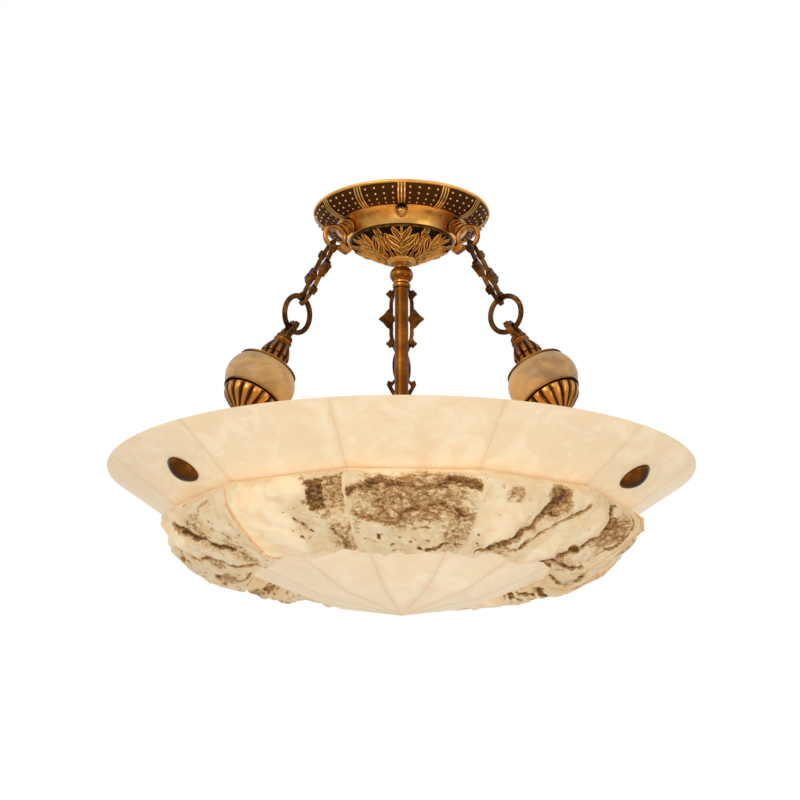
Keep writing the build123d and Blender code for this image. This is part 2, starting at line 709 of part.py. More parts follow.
# Crevices and hollows of a split face. Places are across, from -1 to 1, and down, from 0 to 1, and a
# crevice is its depth, its half width and its line. A hollow is its depth, its radius and its place.
split_faces = [
    dict(crevices=[(3.6, 8, [(-0.95, 0.22), (-0.4, 0.12), (0.1, 0.2), (0.55, 0.12), (0.97, 0.16)]),
                   (3.0, 8, [(-0.9, 0.36), (-0.1, 0.36), (0.4, 0.3), (0.95, 0.42)])],
         hollows=[(4.0, 11, (-0.34, 0.72)), (4.0, 9, (0.16, 0.74)), (3.0, 8, (0.7, 0.7))]),
    dict(crevices=[(5.0, 8, [(0.42, 0.12), (0.12, 0.42), (-0.2, 0.68), (-0.5, 0.8)]),
                   (2.6, 6, [(0.9, 0.2), (0.55, 0.4), (0.15, 0.7)])],
         hollows=[(2.4, 9, (-0.7, 0.66))]),
    dict(crevices=[(4.6, 8, [(-0.2, 0.1), (0.05, 0.3), (-0.1, 0.5), (-0.5, 0.74)]),
                   (4.6, 7, [(-0.7, 0.84), (0.1, 0.76), (0.8, 0.72)])],
         hollows=[(2.6, 9, (0.6, 0.4))]),
    dict(crevices=[(4.0, 8, [(-0.9, 0.3), (-0.2, 0.4), (0.6, 0.34), (0.95, 0.5)]),
                   (4.0, 8, [(-0.8, 0.72), (0.0, 0.66), (0.85, 0.78)])],
         hollows=[(2.6, 8, (0.4, 0.55))]),
    dict(crevices=[(5.2, 8, [(-0.75, 0.22), (-0.3, 0.4), (0.2, 0.6), (0.62, 0.8)]),
                   (2.8, 6, [(-0.95, 0.55), (-0.5, 0.6), (0.2, 0.85)])],
         hollows=[(2.4, 8, (0.55, 0.44))]),
    dict(crevices=[(3.0, 6, [(0.6, 0.5), (0.72, 0.66), (0.6, 0.85)])],
         hollows=[(6.5, 12, (0.78, 0.3)), (4.2, 10, (0.1, 0.47)), (2.0, 8, (-0.5, 0.7))]),
]
panel_faces = [0, 1, 2, 3, 4, 5, 1, 0, 3, 3, 4, 5]


def rock_profile(index):
    """Split face at a panel's middle. The bulge differs from panel to panel, as split stone does."""
    wave = math.sin(2.1 * index + 0.6)
    other = math.cos(1.3 * index)
    bulge = rock_bulge * (1 + 0.18 * wave)
    lip = rock_lip * (1 + 0.16 * other)
    return [(band_foot_radius + 3.5, band_foot_z), (band_foot_radius + bulge, band_foot_z - 5.5),
            (band_foot_radius + bulge + 1, band_foot_z - 16),
            (band_foot_radius - 4 + 2 * wave, rock_foot_z + 10.5 - 3 * other),
            (dish_radius + 27, rock_foot_z - lip + 2.5), (dish_radius + 8, rock_foot_z - lip),
            (dish_radius, rock_foot_z)]


def line_gap(place, line):
    """Distance from a place to a line of points."""
    gaps = []
    for start, end in zip(line, line[1:]):
        way = (end[0] - start[0], end[1] - start[1])
        off = (place[0] - start[0], place[1] - start[1])
        share = (way[0] * off[0] + way[1] * off[1]) / (way[0] ** 2 + way[1] ** 2)
        share = max(0, min(1, share))
        gaps.append(math.hypot(off[0] - share * way[0], off[1] - share * way[1]))
    return min(gaps)


def split_relief(index, across, down):
    """Height of a split face over its profile: broad lumps, crevices and hollows."""
    wide = band_foot_radius * 0.9 * math.tan(math.radians(half_panel))
    tall = 2.5 * rock_depth
    place = (across * wide, down * tall)
    height = split_lump * math.sin(5.3 * across + 1.9 * index) * math.cos(8.1 * down + 2.3 * index)
    height += 0.5 * split_lump * math.sin(12.1 * across + 9.7 * down + 4.1 * index)
    face = split_faces[panel_faces[index]]
    for depth, half, line in face["crevices"]:
        gap = line_gap(place, [(u * wide, v * tall) for u, v in line])
        height -= depth * max(0, 1 - gap / half)
    for depth, radius, (u, v) in face["hollows"]:
        gap = math.hypot(place[0] - u * wide, place[1] - v * tall)
        height -= depth * max(0, 1 - gap / radius)
    beside = split_edge + (1 - split_edge) * min(1, 5 * (1 - abs(across)))
    above = min(1, 9 * down, 9 * (1 - down))
    return height * beside * above


def split_corner(index, outline, column, row):
    """One corner of the facets, on the panel drawn towards +X."""
    stray = math.sin(12.9 * column + 4.7 * row + 3.1 * index) * split_stray
    sway = math.cos(7.3 * column + 9.1 * row + 1.7 * index) * split_stray
    across = 2 * (column + stray) / split_across - 1
    if column in (0, split_across):
        across = 2 * column / split_across - 1
    down = (row + sway) / split_down
    if row in (0, split_down):
        down = row / split_down
    spot = outline @ down
    heading = outline % down
    height = split_relief(index, across, down)
    radius = spot.X - height * heading.Z
    side = across * radius * math.tan(math.radians(half_panel))
    return (radius, side, spot.Z + height * heading.X)


def rock_panel(index):
    """Split panel: a rough face of flat facets, closed by even seams and a smooth inner face."""
    outline = Polyline(*upright(rock_profile(index)))
    rows = range(split_down + 1)
    columns = range(split_across + 1)
    corners = [[split_corner(index, outline, column, row) for column in columns] for row in rows]
    spread = math.tan(math.radians(half_panel))

    def inside(point, side):
        return (point[0], side * point[0] * spread, point[1])

    upper = [inside((band_foot_inner, band_foot_z), side) for side in (-1, 1)]
    lower = [inside(dish_inner, side) for side in (-1, 1)]
    loops = [upper + lower[::-1], corners[0] + upper[::-1], corners[-1] + lower[::-1]]
    for end, column in enumerate((0, split_across)):
        loops.append([line[column] for line in corners] + [lower[end], upper[end]])
    for above, below in zip(corners, corners[1:]):
        for a, b, c, d in zip(above, above[1:], below[1:], below):
            loops += [(a, b, c), (a, c, d)]
    faces = [Face(Wire.make_polygon([Vector(*point) for point in loop], close=True)) for loop in loops]
    return Solid(Shell(faces))


def rock_band():
    return Compound(children=[at_azimuth(rock_panel(index), azimuth)
                              for index, azimuth in enumerate(panel_azimuths)])


def dish_band():
    profile = [(dish_radius, rock_foot_z), (centre_radius, dish_foot_z), centre_inner, dish_inner]
    panel = flat_panel(profile)
    return Compound(children=[at_azimuth(panel, azimuth) for azimuth in panel_azimuths])


def centre_panels():
    slope = centre_depth / centre_radius
    beyond = 10
    inner_tip = tip_z + bowl_wall * math.hypot(1, slope)
    inner_slope = (centre_inner[1] - inner_tip) / centre_inner[0]
    profile = [(centre_radius, dish_foot_z), (-beyond, tip_z - slope * beyond),
               (-beyond, inner_tip - inner_slope * beyond), centre_inner]
    panel = flat_panel(profile)
    return Compound(children=[at_azimuth(panel, azimuth) for azimuth in panel_azimuths])


def towards(point, azimuth, shift=0):
    """Point given by radius and height at an azimuth, moved sideways by shift."""
    angle = math.radians(azimuth)
    return Vector(point[0] * math.sin(angle) + shift * math.cos(angle),
                  -point[0] * math.cos(angle) + shift * math.sin(angle), point[1])


def hanger_rod(side):
    """Bent rod: out of the cap, through ball and cup, then square through the bowl wall."""
    azimuth = suspension_azimuths[side]

    def down(distance):
        return towards(along(bail_radius, bail_z, finial_angle, distance), azimuth)

    def through(distance):
        point = along(knob_radius_place, knob_z_place, wall_lean, distance)
        return towards(point, azimuth + bowl_turn, knob_shifts[side])

    start = down(cap_end - rod_in_cap)
    route = [start, down(cup_end + rod_below_cup), through(inner_face - rod_inside_wall),
             through(knob_height - knob_cover)]
    path = FilletPolyline(*route, radius=rod_bend_radius)
    heading = (route[1] - route[0]).normalized()
    return sweep(Plane(origin=start, z_dir=heading) * Circle(rod_radius), path=path)


def wall_washers():
    washer = rod_between(washer_radius, inner_face - washer_gap - washer_thickness, inner_face - washer_gap)
    washer -= rod_between(rod_bore, -3 * bowl_wall, bowl_wall)
    return Compound(children=[on_wall(washer, side) for side in suspension_azimuths])


def wall_nuts():
    seat = inner_face - washer_gap - washer_thickness
    nut = extrude(RegularPolygon(wall_nut_radius, 6), amount=wall_nut_height)
    nut = Pos(0, 0, seat - wall_nut_height) * nut
    nut -= rod_between(rod_radius, -3 * bowl_wall, bowl_wall)
    return Compound(children=[on_wall(nut, side) for side in suspension_azimuths])


def bowl_knob():
    body = lathe(straight((0, 0), (knob_radius, 0), (knob_radius, 1.4)),
                 cap_arc(knob_radius, 1.4, knob_height), straight((0, knob_height), (0, 0)))
    return body - rod_between(rod_radius, -knob_height, knob_height - knob_cover)


# ---- stem and lamps ---------------------------------------------------------------------------
knuckle_top = -dome_bottom
knuckle_bottom = knuckle_top - knuckle_height
collar_bottom = knuckle_bottom - collar_height
nipple_top = knuckle_top + dome_wall + 1.4 + lock_nut_height + 3
nipple_end = knuckle_top - knuckle_height * 0.55
stem_top = knuckle_bottom + knuckle_height * 0.3
cluster_top = rim_z - cluster_below_rim
cluster_bottom = cluster_top - cluster_height
socket_z = cluster_top - cluster_height * 0.5
stem_bottom = cluster_top - cluster_wall - 8


def stem_knuckle():
    """Turned neck and ball between the leaf dome and the stem."""
    ball_top = knuckle_top - 4.0
    ball_low = knuckle_bottom + 1.5
    body = lathe(straight((0, knuckle_top), (neck_radius + 1.2, knuckle_top), (neck_radius, ball_top + 1),
                          (neck_radius, ball_top)),
                 ThreePointArc(*upright([(neck_radius, ball_top),
                                         (knuckle_radius, (ball_top + ball_low) / 2),
                                         (neck_radius + 0.4, ball_low)])),
                 straight((neck_radius + 0.4, ball_low), (neck_radius + 0.4, knuckle_bottom),
                          (0, knuckle_bottom), (0, knuckle_top)))
    body -= rod_between(nipple_radius, nipple_end, knuckle_top)
    body -= rod_between(nipple_bore, stem_top, nipple_end)
    body -= rod_between(stem_radius, knuckle_bottom, stem_top)
    return body


def stem_collar():
    top = knuckle_bottom
    body = lathe(straight((stem_radius, top), (collar_radius - 1.2, top), (collar_radius, top - 1.6),
                          (collar_radius, collar_bottom + 1.0), (collar_radius - 0.7, collar_bottom),
                          (stem_radius, collar_bottom), (stem_radius, top)))
    return body


def tube(outer, inner, low, high):
    return rod_between(outer, low, high) - rod_between(inner, low - 1, high + 1)


def lock_nut():
    low = knuckle_top + 1.4 + dome_wall
    nut = Pos(0, 0, low) * extrude(RegularPolygon(lock_nut_radius, 6), amount=lock_nut_height)
    return nut - rod_between(nipple_radius, low - 1, low + 20)


def cluster_body():
    """Turned cup that carries three lamp holders round its side."""
    body = lathe_points([(stem_radius, cluster_top), (cluster_radius - 3, cluster_top),
                         (cluster_radius, cluster_top - 3), (cluster_radius, cluster_bottom),
                         (cluster_radius - cluster_wall, cluster_bottom),
                         (cluster_radius - cluster_wall, cluster_top - cluster_wall - 1.5),
                         (cluster_radius - 3.5, cluster_top - cluster_wall),
                         (stem_radius, cluster_top - cluster_wall)])
    for azimuth in lamp_azimuths.values():
        hole = Pos(cluster_radius, 0, socket_z) * Rot(0, 90, 0) * Cylinder(nipple_radius, 20)
        body -= at_azimuth(hole, azimuth)
    return body


def cluster_nut():
    low = cluster_top - cluster_wall - 5
    nut = Pos(0, 0, low) * extrude(RegularPolygon(10, 6), amount=5)
    return nut - rod_between(stem_radius, low - 1, low + 10)


def cluster_cover():
    """Shallow domed cover with a turned button, closing the cup from below."""
    edge = cluster_bottom - 1.6
    button = cluster_bottom - 8
    end = cluster_bottom - 13
    return lathe(straight((0, cluster_bottom), (cluster_radius, cluster_bottom), (cluster_radius, edge)),
                 bowed((cluster_radius, edge), (5, button), 2.0),
                 straight((5, button), (5, button - 3), (3, end), (0, end), (0, cluster_bottom)))


socket_start = cluster_radius + socket_neck
socket_end = socket_start + socket_length
lamp_axis = Plane(origin=(0, 0, socket_z), x_dir=(0, 0, -1), z_dir=(1, 0, 0))


def lamp_socket():
    """Holder with a threaded stub through the cup and a screw bore for the lamp."""
    stub = lamp_axis * rod_between(nipple_radius, cluster_radius - cluster_wall - 3, socket_start)
    neck = lamp_axis * rod_between(nipple_radius + 2, cluster_radius - 4, socket_start)
    neck -= Pos(0, 0, socket_z) * Cylinder(cluster_radius, 4 * cluster_height)
    shell = lathe_points([(0, socket_start), (socket_radius - 3, socket_start),
                          (socket_radius, socket_start + 5), (socket_radius, socket_end),
                          (cap_radius, socket_end), (cap_radius, socket_end - cap_depth),
                          (0, socket_end - cap_depth)])
    return stub + neck + lamp_axis * shell


def lamp_cap():
    low = socket_end - cap_depth
    return lamp_axis * lathe_points([(0, low), (2.4, low), (3.4, low + 1.5), (cap_radius, low + 3.5),
                                     (cap_radius, socket_end), (0, socket_end)])


def lamp_glass():
    """Candle lamp."""
    low = socket_end
    end = low + bulb_length
    edge = Spline(*upright([(cap_radius, low), (bulb_radius * 0.8, low + bulb_length * 0.2),
                            (bulb_radius, low + bulb_length * 0.42),
                            (bulb_radius * 0.62, low + bulb_length * 0.78), (bulb_tip_radius, end)]))
    return lamp_axis * lathe(edge, straight((bulb_tip_radius, end), (0, end), (0, low), (cap_radius, low)))


def terminal_block():
    length, width, height = terminal_size
    middle = -plate_thickness - height / 2
    body = Pos(0, terminal_offset, middle) * Box(length, width, height)
    for column in (-1, 0, 1):
        place = column * length / 3
        body -= Pos(place, terminal_offset, -plate_thickness - height) * Cylinder(2.0, 5)
        body -= Pos(place, terminal_offset + width / 2, middle) * Rot(90, 0, 0) * Cylinder(1.8, 8)
    return body


def stem_cable():
    """Lamp lead from the terminal block, down the bore of the stem, to the lamp cluster."""
    leave = terminal_offset - terminal_size[1] / 2
    height = -plate_thickness - terminal_size[2] / 2
    route = [(0, leave, height), (0, leave * 0.45, height), (0, 0, height - 15), (0, 0, stem_bottom - 3)]
    path = FilletPolyline(*route, radius=cable_radius * 4)
    start = Plane(origin=route[0], z_dir=(0, -1, 0))
    return sweep(start * Circle(cable_radius), path=path)


# ---- write every piece ------------------------------------------------------------------------
save("ceiling_plate", ceiling_plate())
save("canopy_pan", canopy_pan())
save("leaf_dome", leaf_dome())
thumb_screws = [at_azimuth(thumb_screw(), azimuth) for azimuth in lamp_azimuths.values()]
save("canopy_thumb_screws", Compound(children=thumb_screws))
save("dome_screws", dome_screws())
save("hook_nuts", Compound(children=[at_azimuth(hook_nut(), a) for a in suspension_azimuths.values()]))
save("stem_nipple", tube(nipple_radius, nipple_bore, nipple_end, nipple_top))
save("stem_lock_nut", lock_nut())
save("stem_knuckle", stem_knuckle())
save("stem_collar", stem_collar())
save("stem_tube", tube(stem_radius, stem_bore, stem_bottom, stem_top))
save("lamp_cluster_body", cluster_body())
save("lamp_cluster_nut", cluster_nut())
save("lamp_cluster_cover", cluster_cover())
save("terminal_block", terminal_block())
save("stem_cable", stem_cable())
for side, azimuth in lamp_azimuths.items():
    save("lamp_socket_" + side, at_azimuth(lamp_socket(), azimuth))
    save("lamp_glass_" + side, at_azimuth(lamp_glass(), azimuth))
save("lamp_caps", Compound(children=[at_azimuth(lamp_cap(), azimuth) for azimuth in lamp_azimuths.values()]))
save("bowl_upper_band", upper_band())
save("bowl_rock_band", rock_band())
save("bowl_dish_band", dish_band())
save("bowl_centre", centre_panels())
save("bowl_wall_washers", wall_washers())
save("bowl_wall_nuts", wall_nuts())
one_hook = hook()
one_link = link()
one_cap = finial_cap()
one_cup = finial_cup()
for side, azimuth in suspension_azimuths.items():
    save("hook_" + side, at_azimuth(one_hook, azimuth))
    save("link_" + side, at_azimuth(one_link, azimuth))
    save("ring_" + side, at_azimuth(ring(ring_twists[side]), azimuth))
    save("finial_eye_" + side, at_azimuth(finial_eye(), azimuth))
    save("finial_cap_" + side, at_azimuth(one_cap, azimuth))
    save("finial_flanges_" + side, at_azimuth(finial_flanges(), azimuth))
    save("alabaster_ball_" + side, at_azimuth(alabaster_ball(), azimuth))
    save("finial_cup_" + side, at_azimuth(one_cup, azimuth))
    save("hanger_rod_" + side, hanger_rod(side))
    save("bowl_knob_" + side, on_wall(bowl_knob(), side))

print("rim z", round(rim_z, 2), "tip z", round(tip_z, 2))
print("knob", round(knob_radius_place, 2), round(knob_z_place, 2))
apex = eye_centre_radius / math.tan(math.radians(chain_angle)) - eye_centre_drop
print("apex z", round(apex, 2), "bail", round(bail_radius, 2), round(bail_z, 2))
print("link", round(link_top, 2), round(link_bottom, 2))
print("ring", round(ring_centre, 2), "bail", round(bail_centre, 2))
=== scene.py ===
import math

import bmesh
import bpy
from mathutils import Matrix, Vector, noise


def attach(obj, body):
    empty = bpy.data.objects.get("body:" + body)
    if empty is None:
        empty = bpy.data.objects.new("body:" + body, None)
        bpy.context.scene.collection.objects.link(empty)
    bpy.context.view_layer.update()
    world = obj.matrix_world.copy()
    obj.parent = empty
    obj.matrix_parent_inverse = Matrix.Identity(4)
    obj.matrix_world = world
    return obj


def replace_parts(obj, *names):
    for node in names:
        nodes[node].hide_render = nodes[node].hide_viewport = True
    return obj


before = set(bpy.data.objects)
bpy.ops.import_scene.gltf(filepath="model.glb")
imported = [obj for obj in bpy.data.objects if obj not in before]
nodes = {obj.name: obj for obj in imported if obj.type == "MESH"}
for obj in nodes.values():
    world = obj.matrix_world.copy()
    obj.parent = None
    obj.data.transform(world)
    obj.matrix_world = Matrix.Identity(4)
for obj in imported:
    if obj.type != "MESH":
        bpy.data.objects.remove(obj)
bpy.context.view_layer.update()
mm = 0.001
print("frame loaded,", len(nodes), "nodes")

# azimuth 0 is the front (-Y), +90 the right side (+X)
sides = {"left": -60.0, "right": 60.0, "rear": 180.0}


def towards(radius, azimuth, z):
    turn = math.radians(azimuth)
    return Vector((radius * math.sin(turn), -radius * math.cos(turn), z))


def blendStep(low, high, value):
    share = max(0.0, min(1.0, (value - low) / (high - low)))
    return share * share * (3 - 2 * share)


def soften(bm, verts, turns):
    for turn in range(turns):
        bmesh.ops.smooth_vert(bm, verts=verts, factor=0.5, use_axis_x=True, use_axis_y=True,
                              use_axis_z=True)


def newPiece(name, bm, material, body, smooth=True):
    if smooth:
        for face in bm.faces:
            face.smooth = True
    mesh = bpy.data.meshes.new(name)
    bm.to_mesh(mesh)
    bm.free()
    mesh.materials.append(material)
    piece = bpy.data.objects.new(name, mesh)
    bpy.context.scene.collection.objects.link(piece)
    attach(piece, body)
    return piece


class Graph:
    # short names for adding and wiring shader nodes
    def __init__(self, tree):
        self.tree = tree

    def add(self, kind, inputs=None, **settings):
        node = self.tree.nodes.new("ShaderNode" + kind)
        for key, value in settings.items():
            setattr(node, key, value)
        for key, value in (inputs or {}).items():
            self.feed(value, node.inputs[key])
        return node

    def feed(self, value, socket):
        if isinstance(value, bpy.types.NodeSocket):
            self.tree.links.new(value, socket)
        else:
            socket.default_value = value

    def math(self, operation, a, b=0.0, clamp=False):
        node = self.add("Math", operation=operation, use_clamp=clamp)
        self.feed(a, node.inputs[0])
        self.feed(b, node.inputs[1])
        return node.outputs[0]

    def product(self, *values):
        result = values[0]
        for value in values[1:]:
            result = self.math("MULTIPLY", result, value)
        return result

    def plus(self, *values):
        result = values[0]
        for value in values[1:]:
            result = self.math("ADD", result, value)
        return result

    def remap(self, value, low, high, outLow=0.0, outHigh=1.0, smooth=True):
        node = self.add("MapRange", interpolation_type="SMOOTHSTEP" if smooth else "LINEAR")
        for index, item in enumerate((value, low, high, outLow, outHigh)):
            self.feed(item, node.inputs[index])
        return node.outputs[0]

    def mix(self, share, a, b):
        node = self.add("Mix", data_type="RGBA")
        self.feed(share, node.inputs["Factor"])
        self.feed(a, node.inputs[6])
        self.feed(b, node.inputs[7])
        return node.outputs[2]

    def noise(self, vector, scale, detail=4.0, rough=0.55, distort=0.0):
        node = self.add("TexNoise", {"Vector": vector, "Scale": scale, "Detail": detail,
                                     "Roughness": rough, "Distortion": distort})
        return node.outputs[0]

    def ramp(self, value, ends, full=1.0):
        # rises from 0 at the first end to full at the second, both in mm
        return self.remap(value, ends[0] * mm, ends[1] * mm, 0.0, full)

    def fromMiddle(self, value, step):
        # how far a value is from the middle of its step
        return self.math("ABSOLUTE", self.math("SUBTRACT", self.math("MODULO", value, step), step / 2))

    def occlusion(self, reach, inside=False):
        # 1 in the open and less in a hollow, or less near an edge where it looks inside the piece
        return self.add("AmbientOcclusion", {"Distance": reach}, samples=8, inside=inside).outputs["AO"]

    def bump(self, shader, strength, depth, height):
        node = self.add("Bump", {"Strength": strength, "Distance": depth, "Height": height})
        self.feed(node.outputs[0], shader.inputs["Normal"])

    def around(self, place):
        # distance from the stem's axis and azimuth, in metres and radians
        x, y, z = self.add("SeparateXYZ", {"Vector": place}).outputs
        radius = self.math("SQRT", self.plus(self.product(x, x), self.product(y, y)))
        return radius, self.math("ARCTAN2", x, self.product(y, -1.0)), z


def newGroup(name, inputs, outputs):
    tree = bpy.data.node_groups.new(name, "ShaderNodeTree")
    kinds = {"value": "NodeSocketFloat", "colour": "NodeSocketColor", "vector": "NodeSocketVector"}
    for label, kind, default in inputs:
        socket = tree.interface.new_socket(label, in_out="INPUT", socket_type=kinds[kind])
        if default is not None:
            socket.default_value = default
    for label, kind in outputs:
        tree.interface.new_socket(label, in_out="OUTPUT", socket_type=kinds[kind])
    start = tree.nodes.new("NodeGroupInput")
    end = tree.nodes.new("NodeGroupOutput")
    return Graph(tree), start.outputs, end.inputs


def tone(red, green, blue):
    # a colour as seen on screen, 0 to 255, as the linear values that shaders use
    linear = [((c / 255 + 0.055) / 1.055) ** 2.4 if c > 10 else c / 255 / 12.92 for c in (red, green, blue)]
    return (*linear, 1.0)


def newMaterial(name, settings):
    material = bpy.data.materials.new(name)
    material.use_nodes = True
    graph = Graph(material.node_tree)
    shader = material.node_tree.nodes["Principled BSDF"]
    for key, value in settings.items():
        shader.inputs[key].default_value = value
    return material, graph, shader, graph.add("TexCoord").outputs["Object"]


def useGroup(graph, group, values):
    node = graph.add("Group", node_tree=group)
    for key, value in values.items():
        if value is not None:
            graph.feed(value, node.inputs[key])
    return node.outputs


# aged brass: bright where it is rubbed, dark where polish doesn't reach; the band settings give the strength
# of a painted reflection beside the outline
brass = dict(light=tone(214, 148, 70), body=tone(148, 90, 30), dark=tone(44, 22, 7), roughness=0.3,
             recessReach=4.0 * mm, edgeReach=1.4 * mm, grainDepth=0.4 * mm, paintedReflectionDark=0.5)


def agedMetalGroup():
    graph, given, result = newGroup(
        "agedMetal",
        [("Place", "vector", None), ("Open", "value", 1.0), ("Edge", "value", 0.0),
         ("Light", "colour", brass["light"]), ("Body", "colour", brass["body"]),
         ("Dark", "colour", brass["dark"]), ("Wear", "value", 0.5)],
        [("Colour", "colour"), ("Roughness", "value"), ("Height", "value")])
    place = given["Place"]
    cloud = graph.noise(place, 60.0, 5.0, 0.6)
    fine = graph.noise(place, 700.0, 4.0, 0.65)
    grime = graph.noise(place, 210.0, 5.0, 0.7)
    closed = graph.math("SUBTRACT", 1.0, given["Open"], clamp=True)
    uneven = graph.product(graph.math("SUBTRACT", grime, 0.5), 0.3)
    recess = graph.remap(graph.plus(closed, uneven), 0.14, 0.6)
    rubbed = graph.plus(cloud, graph.product(given["Wear"], 0.35), graph.product(given["Edge"], 0.5))
    base = graph.mix(graph.remap(rubbed, 0.5, 0.9), given["Body"], given["Light"])
    speckled = graph.mix(graph.remap(fine, 0.6, 0.78, 0.0, 0.3), base, given["Dark"])
    graph.feed(graph.mix(recess, speckled, given["Dark"]), result["Colour"])
    graph.feed(graph.plus(graph.remap(grime, 0.3, 0.7, -0.05, 0.07), graph.product(recess, 0.28)),
               result["Roughness"])
    graph.feed(graph.plus(graph.product(fine, 0.5), graph.product(grime, 0.5)), result["Height"])
    return graph.tree


agedMetal = agedMetalGroup()


def brassMaterial(name, wear=0.5, roughness=0.0, bump=0.12, light=None, body=None, dark=None, ground=None,
                  carved=False, band=None):
    # ground adds a mask of dark ground; carved reads the piece's own relief, from 0 low to 1 high; band is
    # the strength of the painted reflection beside the outline
    material, graph, shader, place = newMaterial(name, {"Metallic": 1.0})
    openness = graph.occlusion(brass["recessReach"])
    edge = graph.remap(graph.occlusion(brass["edgeReach"], inside=True), 0.75, 0.3)
    if ground:
        openness = graph.math("SUBTRACT", openness, ground(graph, place), clamp=True)
    if carved:
        lift = graph.add("Attribute", attribute_name="lift").outputs["Fac"]
        openness = graph.math("MINIMUM", openness, graph.remap(lift, 0.1, 0.75, 0.35, 1.0))
        edge = graph.math("MAXIMUM", edge, graph.remap(lift, 0.72, 1.0))
    colours = useGroup(graph, agedMetal, {"Place": place, "Open": openness, "Edge": edge, "Light": light,
                                          "Body": body, "Dark": dark, "Wear": wear})
    # painted reflection of a darker room: a darker band beside the outline, as rounded metal shows in a room
    facing = graph.add("LayerWeight", {"Blend": 0.5}).outputs["Facing"]
    shade = graph.product(graph.remap(facing, 0.3, 0.62), graph.remap(facing, 0.95, 0.78),
                          brass["paintedReflectionDark"] if band is None else band)
    graph.feed(graph.mix(shade, colours["Colour"], dark or brass["dark"]), shader.inputs["Base Color"])
    graph.feed(graph.plus(colours["Roughness"], brass["roughness"] + roughness), shader.inputs["Roughness"])
    graph.bump(shader, bump, brass["grainDepth"], colours["Height"])
    return material


# each pair: where the dark ground begins and where it is full, in mm
beadPanels = dict(groups=12, ribHalf=3.4, ribPitch=2.6, groove=(0.5, 1.0), besideRibs=(3.1, 3.8),
                  inner=(58.8, 59.6), outer=(78.4, 77.6), below=(-2.7, -3.3), darkness=0.85)


def beadGround(graph, place):
    # the pan's sloping band, dark beside its groups of ribs and in their grooves
    radius, angle, z = graph.around(place)
    step = math.radians(360 / beadPanels["groups"])
    turned = graph.plus(angle, step * (beadPanels["groups"] * 2 + 0.5))
    across = graph.product(graph.fromMiddle(turned, step), radius)
    pitch = beadPanels["ribPitch"] * mm
    toRib = graph.fromMiddle(graph.plus(across, pitch / 2), pitch)
    between = graph.math("MAXIMUM", graph.ramp(toRib, beadPanels["groove"]),
                         graph.ramp(across, beadPanels["besideRibs"]))
    inside = graph.ramp(radius, beadPanels["inner"])
    outside = graph.ramp(radius, beadPanels["outer"])
    below = graph.ramp(z, beadPanels["below"])
    return graph.product(between, inside, outside, below, beadPanels["darkness"])


# the screws' lean from straight down, where the collar ends along them, and how dark the painted shadow on
# the collar is
thumbScrew = dict(lean=40.0, collarEnd=(52.8, 52.4), darkness=0.7)


def paintedCollarShadow(graph, place):
    # painted shadow: the knurled collar is darkened, as it lies in the shade of the bead band's lip; the nose
    # beyond it stays rubbed brass
    radius, _, z = graph.around(place)
    lean = math.radians(thumbScrew["lean"])
    along = graph.math("SUBTRACT", graph.product(radius, math.sin(lean)), graph.product(z, math.cos(lean)))
    return graph.ramp(along, thumbScrew["collarEnd"], thumbScrew["darkness"])


castBrass = brassMaterial("agedBrassCast")
thumbBrass = brassMaterial("agedBrassThumb", wear=0.7, ground=paintedCollarShadow, light=tone(240, 178, 96))
carvedBrass = brassMaterial("agedBrassCarved", wear=0.6, carved=True, band=0.15, body=tone(156, 90, 30),
                            light=tone(248, 186, 100), dark=tone(40, 21, 8))
flutedBrass = brassMaterial("agedBrassFluted", wear=0.15, carved=True, body=tone(104, 62, 20),
                            light=tone(222, 152, 70), dark=tone(24, 12, 5))
capBrass = brassMaterial("agedBrassCap", wear=0.05, carved=True, body=tone(70, 39, 12),
                         light=tone(156, 94, 34), dark=tone(24, 12, 5))
turnedBrass = brassMaterial("agedBrassTurned", wear=0.4, bump=0.05, body=tone(138, 80, 24),
                            light=tone(214, 142, 62), dark=tone(38, 18, 6))
knobBrass = brassMaterial("agedBrassKnob", wear=0.15, bump=0.08, band=0.8, body=tone(112, 64, 18),
                          light=tone(180, 114, 46), dark=tone(40, 20, 7))
tubeBrass = brassMaterial("agedBrassTube", wear=0.2, roughness=0.06, bump=0.05, band=0.7,
                          body=tone(108, 60, 16), light=tone(158, 96, 34), dark=tone(46, 24, 8))
# partly painted light: the pan's tones are lighter than the other brass, standing in for the bowl's uplight
# on the canopy
panBrass = brassMaterial("agedBrassPan", wear=0.75, bump=0.06, band=0.0, ground=beadGround,
                         body=tone(214, 142, 52), light=tone(248, 188, 102), dark=tone(84, 51, 21))
darkBrass = brassMaterial("agedBrassDark", wear=0.25, roughness=0.2, band=0.8, body=tone(78, 45, 17),
                          light=tone(176, 114, 50), dark=tone(26, 13, 6))
beadBrass = brassMaterial("agedBrassBead", wear=0.7, light=tone(236, 186, 118), body=tone(190, 130, 62))

# alabaster; the balls turn from a painted lamp-lit near tone to a painted shaded far tone over the given
# distances from the stem, in mm
alabaster = dict(pale=tone(248, 226, 190), body=tone(242, 214, 173), tan=tone(220, 184, 136), paintedGlow=0.22,
                 panels=12, panelTurn=2.7, seamWidth=0.5, hazeWidth=6.0, paintedLampSide=(120.0, 158.0),
                 roughness=0.36, bump=0.25, grainDepth=0.5 * mm)


